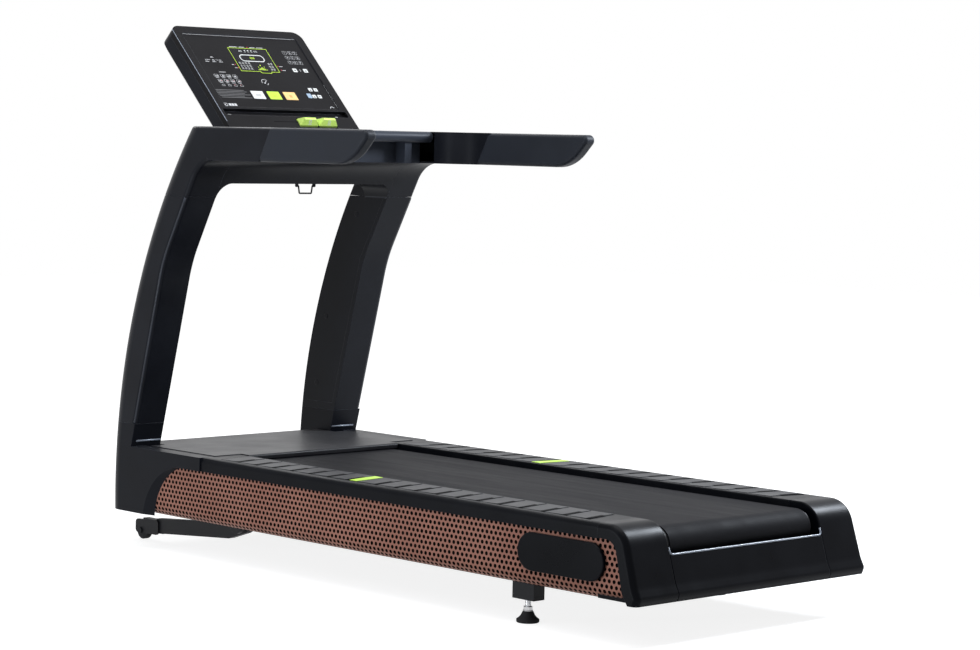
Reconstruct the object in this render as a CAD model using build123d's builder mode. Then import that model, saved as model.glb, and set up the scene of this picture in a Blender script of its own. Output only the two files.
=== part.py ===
"""Commercial treadmill: welded base frame, running belt and deck, powered incline, uprights and console.

Millimetres. +Y is the running direction (towards the console), +X the runner's right, +Z up.
The origin is on the floor, under the middle of the machine. x = 0 is the plane of symmetry.
"""

import os
from math import atan2, cos, degrees, radians, sin, sqrt, tan

from build123d import *

os.makedirs("parts", exist_ok=True)

SIDES = ((-1, "left"), (1, "right"))

# ------------------------------------------------------------------ driving dimensions
length = 2295.0              # rear bumper to the front of the uprights
half_width = 460.0           # centre plane to the side of the rear bumper
side_width = 180.0           # side of the rear bumper to the edge of the belt
belt_top = 295.0             # height of the running surface
rail_top = belt_top + 16.0   # height of the foot rails
base_z = belt_top - 185.0    # underside of the covers
handrail_top = 1296.0
rear_y = -length / 2
front_y = length / 2
belt_width = 2 * (half_width - side_width)
seam = 0.5                   # gap at a cover joint
running = 0.05               # radial clearance of a shaft in its bore

# ------------------------------------------------------------------ belt, rollers and deck
belt_thickness = 3.0
roller_radius = 45.0
roller_gap = 0.3             # roller shell to the inside of the belt
roller_wall = 4.0
roller_overhang = 8.0        # roller beyond each edge of the belt
roller_plug = 22.0
axle_radius = 10.0
bearing_radius = 21.0
bearing_width = 14.0
wrap_radius = roller_radius + roller_gap + belt_thickness
roller_z = belt_top - wrap_radius
rear_roller_y = rear_y + 105.5
front_roller_y = front_y - 387.5
roller_half = belt_width / 2 + roller_overhang
deck_thickness = 25.0
deck_half_width = belt_width / 2 + 16.0
deck_end_gap = 12.0          # deck to the roller shells
deck_gap = 0.3               # belt over the deck
deck_top = belt_top - belt_thickness - deck_gap
deck_bottom = deck_top - deck_thickness
cushion_radius = 22.0
cushion_x = deck_half_width - 46.0
return_run_z = roller_z - wrap_radius

# ------------------------------------------------------------------ welded base frame
frame_rail_inner = half_width - 108.0
frame_rail_width = 48.0
frame_rail_height = 92.0
frame_rail_bottom = belt_top - 125.0
tube_wall = 3.0
frame_rail_rear_gap = 72.0   # rail end to the rear face of the bumper
frame_rail_front_gap = 72.0
frame_rail_top = frame_rail_bottom + frame_rail_height
frame_rail_outer = frame_rail_inner + frame_rail_width
frame_rail_x = frame_rail_inner + frame_rail_width / 2
cross_member_height = 35.0
cross_member_width = 50.0
cross_member_gap = 3.6       # over the return run of the belt
cross_member_ys = (rear_y + 297.5, rear_y + 847.5, front_y - 947.5, front_y - 507.5)
cross_member_bottom = return_run_z + belt_thickness + cross_member_gap
cross_member_top = cross_member_bottom + cross_member_height
tray_top = base_z + 40.0
tray_thickness = 6.0
tray_rear = front_y - 277.5
tray_front = front_y - 101.5
tray_flange = 50.0

# ------------------------------------------------------------------ rear levelling feet
foot_y = rear_y + 471.5
foot_block_length = 81.0
foot_block_width = 40.0
foot_block_bottom = 62.5
foot_stem_radius = 8.0
foot_stem_top = 97.0
foot_bore_depth = 51.5
foot_pad_radius = 31.0
foot_pad_height = 31.0
foot_neck_radius = 14.0
foot_nut_radius = 14.0
foot_nut_height = 12.0

# ------------------------------------------------------------------ incline lift
lift_pivot_y = front_y - 547.5
lift_pivot_z = 106.0
lift_travel = 32.0           # degrees
torsion_radius = 20.0
arm_x = frame_rail_inner - 42.0
arm_width = 22.0
arm_height = 47.0
arm_heel = 70.0              # thick end of the arm in front of its pivot
arm_heel_drop = 52.0         # underside of the thick end below the pivot
arm_boss_radius = 28.0
wheel_y = front_y - 41.5
wheel_radius = 28.0
wheel_width = 20.0
wheel_bolt_radius = 6.0
wheel_bolt_head = 10.0
fork_plate = 6.0
fork_rear = wheel_y - 90.0
fork_bottom = 22.0
fork_top = 70.0
fork_tip = 26.0              # fork plate in front of the wheel's axle
pivot_pin_radius = 10.0
pivot_pin_depth = 34.0
lug_thickness = 12.0
lug_length = 70.0
lug_weld = 30.0              # height of the lug against the rail
stay_radius = 12.0
stay_y = wheel_y - 122.0
stay_z = 52.0
lever_x = -120.0
lever_height = 60.0          # push rod above the pivot
lever_width = 34.0
lever_thickness = 12.0
rod_pin_radius = 6.0
rod_pin_play = 0.5
cheek_gap = 1.0              # fork cheek to the lever
cheek_thickness = 6.0
rod_radius = 10.0
rod_end_y = lift_pivot_y + 240.0
rod_tube_radius = 17.0
rod_tube_rear = lift_pivot_y + 100.0
gearbox_rear = lift_pivot_y + 250.0
gearbox_length = 84.0
gearbox_width = 70.0
gearbox_height = 50.0
lift_motor_radius = 14.5
lift_motor_length = 80.0
half_travel = radians(lift_travel / 2)
rod_z = lift_pivot_z + lever_height
rod_pin_y = lift_pivot_y - lever_height * tan(half_travel)
rod_stroke = 2 * lever_height * tan(half_travel)

# ------------------------------------------------------------------ drive
motor_y = front_roller_y + 205.0
motor_z = 224.0
motor_radius = 68.0
motor_left = 40.0
motor_right = roller_half - 16.0
motor_foot_width = 120.0
shaft_radius = 12.5
flywheel_radius = 64.0
flywheel_width = 24.0
flywheel_gap = 8.0
drive_pulley_radius = 56.0
motor_pulley_radius = 28.0
pulley_width = 24.0
pulley_gap = 6.0             # pulley beyond the roller shell
drive_belt_thickness = 3.0
drive_belt_width = 20.0
inverter_size = (130.0, 150.0, 85.0)
inverter_x = (lever_x - gearbox_width / 2 - frame_rail_inner) / 2
pulley_left = roller_half + pulley_gap

# ------------------------------------------------------------------ side rails and panels
rail_inner = belt_width / 2 + 22.0
rail_outer = half_width - 7.0
rail_wall = 4.0
rail_skirt = 6.0             # thickness of the rail's outer side
rail_skirt_bottom = rail_top - 41.0
rail_front_y = front_y - 504.5
rail_rear_y = rear_y + 150.5
rail_outer_round = 16.0
rail_corner_fill = 8.0       # thickening inside the rounded corner
rail_inner_round = 4.0
rail_rib_inset = 8.0         # rail ribs inside the frame rail's edges
panel_outer = half_width - 14.0
panel_thickness = 1.5
panel_overlap = 10.0         # panel behind the rail's skirt
panel_curl_radius = 35.0
panel_curl_top = 147.0
panel_return = 10.0
panel_front_y = front_y - 242.5
panel_rear_foot_y = rear_y + 26.0
panel_rear_top_y = rear_y + 92.0
marker_y = -8.0
marker_length = 46.0
marker_inset = 12.0
marker_thickness = 1.0
badge_y = rear_y + 281.5
badge_z = 206.5
badge_length = 313.0
badge_height = 101.0
badge_thickness = 10.0
badge_round = 3.0

# ------------------------------------------------------------------ uprights
column_outer = half_width - 3.0
column_inner = column_outer - 112.0
column_outer_back = 72.0     # outer front edge behind the front of the machine
column_slant = 80.5          # inner front corner, before rounding, ahead of the outer one
column_front_radius = 1917.0
column_front_centre_z = 172.0
column_foot_z = base_z
column_foot_rear = front_y - 108.5
column_knee = (front_y - 310.5, 885.0)
column_shoulder_y = front_y - 481.5
column_knee_radius = 420.0
column_shoulder_radius = 112.0
column_wall = 5.0
column_outer_round = 14.0
column_front_round = 60.0
column_inner_round = 9.0
collar_seam_z = 382.0
shoulder_seam_z = handrail_top - 210.0
recess_depth = 2.5
recess_border = 17.0
column_front_centre_y = front_y - column_outer_back - column_front_radius
arch_foot_y = front_y - 222.5    # arch in the fairing where the side panel comes out
arch_top_y = arch_foot_y - 168.0
reveal_foot_y = arch_foot_y - 53.0
reveal_top_y = arch_top_y - 13.0

# ------------------------------------------------------------------ handrails and crossbar
handrail_inner = column_outer - 43.0
handrail_outer = column_outer
handrail_bottom = handrail_top - 99.0
handrail_tip_y = front_y - 1246.5
handrail_tip_reach = 93.0    # tip of the handrail behind the end of its underside
handrail_round = 11.0
handrail_tip_round = 17.0
handrail_tip_sweep = 145.0
grip_seam_top_y = front_y - 811.5
grip_seam_bottom_y = grip_seam_top_y + 52.0
neck_start_y = grip_seam_top_y + 25.0
neck_end_y = neck_start_y + 169.0
neck_x = column_outer - 95.0
crossbar_bottom = handrail_bottom - 71.0
crossbar_top = handrail_bottom - 2 * seam
crossbar_front_y = column_knee[0] - 2.0
crossbar_corner = 45.0
crossbar_wall = 4.0

# ------------------------------------------------------------------ steel inside the uprights
mast_inner = frame_rail_outer
mast_width = 40.0
mast_bottom = column_foot_z + 30.0
grip_tube_x = handrail_outer - 21.0
grip_tube_z = handrail_top - 50.0
grip_tube_width = 20.0
grip_tube_height = 34.0
grip_tube_y = handrail_tip_y + 79.0  # rear end of the steel tube in the handrail
beam_z = crossbar_bottom + 27.0
beam_height = 38.0
beam_depth = 40.0
beam_y = front_y - 387.5
mast_bend_z = 330.0
mast_stations = [            # rear face of the upright's tube, height and depth of the tube there
    (front_y - 147.5, mast_bottom, 48.0),
    (front_y - 147.5, mast_bend_z, 48.0),
    (column_knee[0] + 19.0, column_knee[1], 46.0),
    (beam_y - 5.0, beam_z - 3.0, 36.0),
    (column_shoulder_y + 24.0, grip_tube_z + 16.0, 24.0),
]
arm_tube_x = 190.0
arm_tube_width = 30.0
arm_tube_rear = 18.0         # foot of the console's arm behind and in front of the beam's middle
arm_tube_front = 12.0
arm_tube_near = 27.0         # console's arm below the face, nearer and farther side
arm_tube_far = 46.7
arm_tube_down = 219.0        # upper end of the console's arm, down the face
tube_play = 1.0              # cover around a steel tube

# ------------------------------------------------------------------ dash and console
dash_rear_y = neck_end_y + 6.0
dash_front_y = dash_rear_y + 280.0
dash_rim = 34.0
dash_recess_y = dash_rear_y + 60.0
dash_wall = 4.0
rib_x_dash = neck_x - 89.0
rib_width = 28.0
well_x = neck_x - 70.0
well_y = dash_recess_y + 56.0
well_radius = 40.0
well_depth = 82.0
console_half = 262.0
console_length = 449.0
console_thickness = 74.0
console_corner = 34.0
console_back_chamfer = 16.0
console_wall = 5.0
face_thickness = 18.0
console_tilt = 45.0
console_foot_y = dash_front_y - 51.5
console_foot_z = handrail_top - 5.5
console_y = console_foot_y + console_length * cos(radians(console_tilt))
console_top = console_foot_z + console_length * sin(radians(console_tilt))
overlay_half = 230.0
overlay_top = 31.0
overlay_bottom = console_length - 97.0
overlay_depth = 2.5
rack_top = console_length - 88.0
rack_width = 26.0
rack_depth = 13.0
rack_half = 248.0
lens_size = (154.0, 104.0)
lens_down = 138.0
lens_thickness = 3.0
key_size = (48.0, 34.0)
key_pitch = 65.0
key_shift = -4.0
key_down = overlay_bottom - 57.0
key_thickness = 4.0
key_proud = 1.0
key_travel = 1.0
key_gap = 0.5
nav_size = (15.0, 14.0)
nav_pitch = (22.0, 30.0)
nav_x = 171.0
nav_down = overlay_bottom - 74.0
select_x = 141.0
select_down = overlay_bottom - 61.0
select_size = (17.0, 20.0)
paddle_width = 72.0
paddle_height = 34.0
paddle_proud = 22.0
paddle_pitch = 78.0
paddle_slope = 14.0          # run of a paddle's sloping ends
paddle_x = 99.0
paddle_down = console_length - 35.0
paddle_pin_radius = 3.0
paddle_gap = 2.0
paddle_pocket = 12.0
paddle_pin_length = (paddle_pitch - paddle_width) / 2 - running

# ------------------------------------------------------------------ hood, pan and rear bumper
hood_top = rail_top + 2.0
hood_wall = 4.0
hood_rear_y = front_y - 545.5
hood_half = column_outer - 57.5
hood_neck_half = column_inner - seam
hood_neck_y = front_y - 185.5
hood_front_y = front_y - 71.5
hood_lip_gap = 3.0           # hood over the belt
hood_chin = 10.0             # fullest part of the front, ahead of the top's edge
hood_toe = 4.0               # foot of the front, ahead of the top's edge
hood_rounds = (7.0, 22.0, 200.0)
pan_z = base_z + 2.0
pan_thickness = 3.0
hood_chin_z = pan_z + 60.0
pan_rear_y = front_y - 447.5
pan_half = arm_x - arm_width / 2 - fork_plate - 8.0
inlet_x = -200.0
inlet_size = (50.0, 34.0, 30.0)
inlet_z = pan_z + 33.0
inlet_recess = (30.0, 18.0, 18.0)
pin_pitch = 8.0
bumper_bottom = base_z + 2.0
bumper_seam_z = rail_top - 39.0
bumper_wall = 4.0
bumper_inner = rail_inner + 1.0
bumper_lip_z = belt_top - 66.0
bumper_side_lean = 6.0
bumper_front_y = rail_rear_y - seam
bumper_heel_y = rear_y + 12.5
bumper_heel_z = bumper_bottom + 45.0
bumper_lean = 48.0 / 154.0   # forward run of the bumper's rear face for each unit of height
bumper_toe_y = rear_y - 1.5
bumper_toe_z = bumper_bottom + 18.0
bumper_foot = 8.0            # foot of the rear face in front of its toe
bumper_top_round = 75.0
bumper_rounds = (60.0, 18.0)
bumper_corner_fill = 10.0    # thickening inside the cap's rounded corner
bumper_arch_rear_y = rear_y + 88.0
bumper_arch_knee = (rear_y + 55.0, bumper_bottom + 28.0)
bumper_arch_foot_y = rear_y + 34.0
bumper_arch_rounds = (42.0, 30.0)
bumper_lip_width = 14.0
bumper_lip_overlap = 2.0
panel_play = 0.3             # cap's cheek outside the panel
panel_slot = 80.0            # opening in the cap's floor for the panel's curl
panel_slot_rear_y = rear_y + 18.0
ring_half = 28.0
ring_drop = 24.0
ring_wire = 2.5
ring_y = beam_y - 38.0
ring_ear = 6.0
ring_ear_radius = 4.8
ring_axis = 5.0              # ring's pivot below the crossbar
ring_ear_gap = 0.1           # clip of the ring to the crossbar


def column_rear(z):
    """y of the upright's straight rear edge below the knee."""
    slope = (column_knee[0] - column_foot_rear) / (column_knee[1] - column_foot_z)
    return column_foot_rear + slope * (z - column_foot_z)


def column_front(z, radius=column_front_radius):
    """y of the upright's outer front edge, a long arc."""
    return column_front_centre_y + sqrt(radius**2 - (z - column_front_centre_z) ** 2)


def column(inset=0.0):
    """The upright's solid on the +X side, from its foot to the top of the handrail, shrunk by inset."""
    low_z = column_foot_z - inset
    top_z = handrail_top - inset
    under_z = handrail_bottom + inset
    knee_y, knee_z = column_knee
    lean = (column_shoulder_y - knee_y) / (under_z - inset - knee_z)
    lower_shift = inset / cos(atan2(column_rear(0) - column_rear(1), 1))
    upper_shift = inset / cos(atan2(-lean, 1))
    rear_points = [
        (column_rear(low_z) + lower_shift, low_z),
        (knee_y + (lower_shift + upper_shift) / 2, knee_z),
        (column_shoulder_y + upper_shift + lean * inset, under_z),
        (neck_end_y, under_z),
    ]
    slant = Vector(column_inner - column_outer, column_slant, 0)
    slant_inset = inset * slant.length / (column_outer - column_inner)
    over = 20.0
    start_x = column_outer + over
    start_back = over * column_slant / (column_outer - column_inner)
    arc_radius = column_front_radius - slant_inset
    with BuildPart() as body:
        with BuildSketch(Plane.YZ.offset(column_inner + inset)):
            with BuildLine():
                FilletPolyline(*rear_points, radius=[column_knee_radius, column_shoulder_radius])
                Polyline(
                    (neck_end_y, under_z), (neck_end_y, top_z), (front_y + over, top_z),
                    (front_y + over, low_z), rear_points[0],
                )
            make_face()
        extrude(amount=column_outer - column_inner - 2 * inset)
        with BuildSketch(Plane.YZ.offset(start_x)):
            with BuildLine():
                low = (column_front(low_z - over, arc_radius) - start_back, low_z - over)
                mid_z = (low_z + top_z) / 2
                mid = (column_front(mid_z, arc_radius) - start_back, mid_z)
                high = (column_front(top_z + over, arc_radius) - start_back, top_z + over)
                ThreePointArc(low, mid, high)
                Polyline(high, (front_y + 300, top_z + over), (front_y + 300, low_z - over), low)
            make_face()
        reach = (column_outer - column_inner + 2 * over) / (column_outer - column_inner)
        extrude(amount=slant.length * reach, dir=slant, mode=Mode.SUBTRACT)
    return body.part


def band(z_low, z_high):
    """A wide flat block that keeps what lies between two heights."""
    with BuildPart() as block:
        with BuildSketch(Plane.XY.offset(z_low)):
            Rectangle(4 * length, 4 * length)
        extrude(amount=z_high - z_low)
    return block.part


face_up = Vector(0, cos(radians(console_tilt)), sin(radians(console_tilt)))
face_out = Vector(0, -sin(radians(console_tilt)), cos(radians(console_tilt)))
face_origin = Vector(0, console_y, console_top)


def face_plane(depth=0.0):
    """Plane of the console's face, sunk by a depth; local x is +X and local y runs up the face."""
    return Plane(origin=face_origin - face_out * depth, x_dir=(1, 0, 0), z_dir=face_out)


def face_point(down, depth):
    """y and z of a point down the console's face and below it."""
    point = face_origin - face_up * down - face_out * depth
    return point.Y, point.Z


# ------------------------------------------------------------------ upright solids shared by several pieces
with BuildPart() as column_solid:
    add(column())
    tall = column_solid.edges().filter_by(lambda e: e.bounding_box().size.Z > 700)
    outer_tall = tall.filter_by(lambda e: e.center().X > column_outer - 1).sort_by(Axis.Y)
    inner_tall = tall.filter_by(lambda e: e.center().X < column_inner + 1).sort_by(Axis.Y)
    fillet(outer_tall[-1], radius=column_front_round)
    fillet(inner_tall[-1], radius=column_inner_round)

with BuildPart() as column_void:
    add(column(column_wall))
    tall = column_void.edges().filter_by(lambda e: e.bounding_box().size.Z > 700)
    outer_tall = tall.filter_by(lambda e: e.center().X > column_outer - column_wall - 1).sort_by(Axis.Y)
    fillet(outer_tall[-1], radius=column_front_round - column_wall)

# ------------------------------------------------------------------ base frame
for side, tag in SIDES:
    with BuildPart() as frame_rail:
        rail_start = rear_y + frame_rail_rear_gap
        rail_length = length - frame_rail_rear_gap - frame_rail_front_gap
        with BuildSketch(Plane.XZ.offset(-rail_start)):
            with Locations((frame_rail_x, frame_rail_bottom + frame_rail_height / 2)):
                Rectangle(frame_rail_width, frame_rail_height)
                Rectangle(
                    frame_rail_width - 2 * tube_wall, frame_rail_height - 2 * tube_wall,
                    mode=Mode.SUBTRACT,
                )
        extrude(amount=-rail_length)
        with BuildSketch(Plane.XY.offset(foot_block_bottom)):
            with Locations((frame_rail_x, foot_y)):
                Rectangle(foot_block_width, foot_block_length)
        extrude(amount=frame_rail_bottom - foot_block_bottom)
        with Locations(Plane(origin=(frame_rail_x, foot_y, foot_block_bottom), z_dir=(0, 0, -1))):
            Hole(radius=foot_stem_radius + running, depth=foot_bore_depth)
        with BuildSketch(Plane.YZ.offset(frame_rail_inner - lug_thickness)):
            with Locations((lift_pivot_y, (lift_pivot_z + frame_rail_bottom) / 2)):
                Rectangle(lug_length, frame_rail_bottom - lift_pivot_z)
            with Locations((lift_pivot_y, lift_pivot_z)):
                Circle(lug_length / 2 - 8)
            with Locations((lift_pivot_y, frame_rail_bottom)):
                Rectangle(lug_length, lug_weld, align=(Align.CENTER, Align.MIN))
            with Locations((lift_pivot_y, lift_pivot_z)):
                Circle(pivot_pin_radius + running, mode=Mode.SUBTRACT)
        extrude(amount=lug_thickness)
        for roller_y in (rear_roller_y, front_roller_y):
            with Locations(Plane(origin=(frame_rail_inner, roller_y, roller_z), z_dir=(-1, 0, 0))):
                Hole(radius=axle_radius, depth=tube_wall)
        if side < 0:
            mirror(about=Plane.YZ, mode=Mode.REPLACE)
    frame_rail.part.label = f"frame_rail_{tag}"
    export_step(frame_rail.part, f"parts/frame_rail_{tag}.step")

with BuildPart() as cross_members:
    with BuildSketch(Plane.XY.offset(cross_member_bottom)):
        for member_y in cross_member_ys:
            with Locations((0, member_y)):
                Rectangle(2 * frame_rail_inner, cross_member_width)
    extrude(amount=cross_member_height)
cross_members.part.label = "cross_members"
export_step(cross_members.part, "parts/cross_members.step")

with BuildPart() as motor_tray:
    tray_length = tray_front - tray_rear
    with BuildSketch(Plane.XZ.offset(-tray_rear)):
        with Locations((0, tray_top - tray_thickness)):
            Rectangle(2 * frame_rail_inner, tray_thickness, align=(Align.CENTER, Align.MIN))
        for side, tag in SIDES:
            with Locations((side * (frame_rail_inner - tray_thickness / 2), tray_top)):
                Rectangle(tray_thickness, tray_flange, align=(Align.CENTER, Align.MIN))
    extrude(amount=-tray_length)
motor_tray.part.label = "motor_tray"
export_step(motor_tray.part, "parts/motor_tray.step")

# ------------------------------------------------------------------ deck, belt and rollers
rear_deck_y = rear_roller_y + roller_radius + deck_end_gap
front_deck_y = front_roller_y - roller_radius - deck_end_gap
with BuildPart() as deck_board:
    with BuildSketch(Plane.XY.offset(deck_bottom)):
        with Locations((0, (rear_deck_y + front_deck_y) / 2)):
            RectangleRounded(2 * deck_half_width, front_deck_y - rear_deck_y, 6)
    extrude(amount=deck_thickness)
deck_board.part.label = "deck_board"
export_step(deck_board.part, "parts/deck_board.step")

with BuildPart() as deck_cushions:
    for member_y in cross_member_ys:
        for side, tag in SIDES:
            with BuildSketch(Plane.XY.offset(cross_member_top)):
                with Locations((side * cushion_x, member_y)):
                    Circle(cushion_radius)
            extrude(amount=deck_bottom - cross_member_top)
deck_cushions.part.label = "deck_cushions"
export_step(deck_cushions.part, "parts/deck_cushions.step")


def loop_around(plane, ends, thickness, width):
    """A flat belt round two wheels, given as (y, z, inner radius)."""
    with BuildPart() as loop:
        with BuildSketch(plane):
            for centre_y, centre_z, radius in ends:
                with Locations((centre_y, centre_z)):
                    Circle(radius + thickness)
            make_hull()
        extrude(amount=width)
        with BuildSketch(plane):
            for centre_y, centre_z, radius in ends:
                with Locations((centre_y, centre_z)):
                    Circle(radius)
            make_hull()
        extrude(amount=width, mode=Mode.SUBTRACT)
    return loop.part


belt_radius = roller_radius + roller_gap
belt_ends = ((rear_roller_y, roller_z, belt_radius), (front_roller_y, roller_z, belt_radius))
with BuildPart() as running_belt:
    add(loop_around(Plane.YZ.offset(-belt_width / 2), belt_ends, belt_thickness, belt_width))
running_belt.part.label = "running_belt"
export_step(running_belt.part, "parts/running_belt.step")


def roller_outline(pulley):
    """Half section of a hollow roller, with an optional pulley on its right end."""
    inner = roller_radius - roller_wall
    bore = bearing_radius
    right = roller_half
    points = [
        (-right, bore), (-right, roller_radius), (right, roller_radius),
    ]
    if pulley:
        points += [
            (right, bore + 9), (pulley_left, bore + 9), (pulley_left, drive_pulley_radius),
            (pulley_left + pulley_width, drive_pulley_radius), (pulley_left + pulley_width, bore),
        ]
    else:
        points += [(right, bore)]
    points += [
        (right - roller_plug, bore), (right - roller_plug, inner),
        (-right + roller_plug, inner), (-right + roller_plug, bore), (-right, bore),
    ]
    return points


def roller_axis(centre_y, centre_z):
    """Axis of a shaft across the machine."""
    return Axis((0, centre_y, centre_z), (1, 0, 0))


def shaft_plane(centre_y, centre_z):
    """Plane through a cross shaft, for half sections: local x along it, local y the radius."""
    return Plane(origin=(0, centre_y, centre_z), x_dir=(1, 0, 0), z_dir=(0, 0, 1))


with BuildPart() as front_roller:
    with BuildSketch(shaft_plane(front_roller_y, roller_z)):
        with BuildLine():
            Polyline(*roller_outline(True))
        make_face()
    revolve(axis=roller_axis(front_roller_y, roller_z))
front_roller.part.label = "front_roller"
export_step(front_roller.part, "parts/front_roller.step")

with BuildPart() as rear_roller:
    with BuildSketch(shaft_plane(rear_roller_y, roller_z)):
        with BuildLine():
            Polyline(*roller_outline(False))
        make_face()
    revolve(axis=roller_axis(rear_roller_y, roller_z))
rear_roller.part.label = "rear_roller"
export_step(rear_roller.part, "parts/rear_roller.step")

axle_half = frame_rail_inner + tube_wall + 12
with BuildPart() as roller_axles:
    for roller_y in (rear_roller_y, front_roller_y):
        with BuildSketch(Plane.YZ.offset(-axle_half)):
            with Locations((roller_y, roller_z)):
                Circle(axle_radius)
        extrude(amount=2 * axle_half)
roller_axles.part.label = "roller_axles"
export_step(roller_axles.part, "parts/roller_axles.step")

with BuildPart() as roller_bearings:
    for roller_y in (rear_roller_y, front_roller_y):
        for bearing_x in (-roller_half + 2, roller_half - 2 - bearing_width):
            with BuildSketch(Plane.YZ.offset(bearing_x)):
                with Locations((roller_y, roller_z)):
                    Circle(bearing_radius - running)
                    Circle(axle_radius, mode=Mode.SUBTRACT)
            extrude(amount=bearing_width)
roller_bearings.part.label = "roller_bearings"
export_step(roller_bearings.part, "parts/roller_bearings.step")

# ------------------------------------------------------------------ drive motor, rotor and belt
with BuildPart() as drive_motor:
    with BuildSketch(Plane.YZ.offset(motor_left)):
        with Locations((motor_y, motor_z)):
            Circle(motor_radius)
        with Locations((motor_y, tray_top)):
            Rectangle(motor_foot_width, motor_z - tray_top, align=(Align.CENTER, Align.MIN))
    extrude(amount=motor_right - motor_left)
    with Locations(Plane(origin=(motor_right, motor_y, motor_z), z_dir=(1, 0, 0))):
        Hole(radius=shaft_radius + running)
    for rib in range(-3, 4):
        rib_x = (motor_left + motor_right) / 2 + rib * 22
        with BuildSketch(Plane.YZ.offset(rib_x)):
            with Locations((motor_y, motor_z)):
                Circle(motor_radius + 1)
                Circle(motor_radius - 5, mode=Mode.SUBTRACT)
            with Locations((motor_y, tray_top)):
                Rectangle(motor_foot_width + 2, 30, align=(Align.CENTER, Align.MIN), mode=Mode.SUBTRACT)
        extrude(amount=6, mode=Mode.SUBTRACT)
drive_motor.part.label = "drive_motor"
export_step(drive_motor.part, "parts/drive_motor.step")

flywheel_right = motor_left - flywheel_gap
with BuildPart() as motor_rotor:
    pulley_right = pulley_left + pulley_width
    with BuildSketch(shaft_plane(motor_y, motor_z)):
        with BuildLine():
            Polyline(
                (flywheel_right - flywheel_width - 6, 0),
                (flywheel_right - flywheel_width - 6, shaft_radius),
                (flywheel_right - flywheel_width, shaft_radius),
                (flywheel_right - flywheel_width, flywheel_radius),
                (flywheel_right, flywheel_radius),
                (flywheel_right, shaft_radius),
                (pulley_left, shaft_radius),
                (pulley_left, motor_pulley_radius),
                (pulley_right, motor_pulley_radius),
                (pulley_right, 0),
                close=True,
            )
        make_face()
    revolve(axis=roller_axis(motor_y, motor_z))
motor_rotor.part.label = "motor_rotor"
export_step(motor_rotor.part, "parts/motor_rotor.step")

drive_ends = (
    (front_roller_y, roller_z, drive_pulley_radius + roller_gap),
    (motor_y, motor_z, motor_pulley_radius + roller_gap),
)
drive_belt_x = pulley_left + (pulley_width - drive_belt_width) / 2
with BuildPart() as drive_belt:
    add(loop_around(Plane.YZ.offset(drive_belt_x), drive_ends, drive_belt_thickness, drive_belt_width))
drive_belt.part.label = "drive_belt"
export_step(drive_belt.part, "parts/drive_belt.step")

with BuildPart() as inverter_box:
    inverter_width, inverter_length, inverter_height = inverter_size
    with BuildSketch(Plane.XY.offset(tray_top)):
        with Locations((inverter_x, (tray_rear + tray_front) / 2)):
            RectangleRounded(inverter_width, inverter_length, 5)
    extrude(amount=inverter_height)
    for fin in range(-4, 5):
        with BuildSketch(Plane.XY.offset(tray_top + inverter_height)):
            with Locations((inverter_x + fin * 13, (tray_rear + tray_front) / 2)):
                Rectangle(4, inverter_length - 20)
        extrude(amount=-14, mode=Mode.SUBTRACT)
inverter_box.part.label = "inverter_box"
export_step(inverter_box.part, "parts/inverter_box.step")

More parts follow.
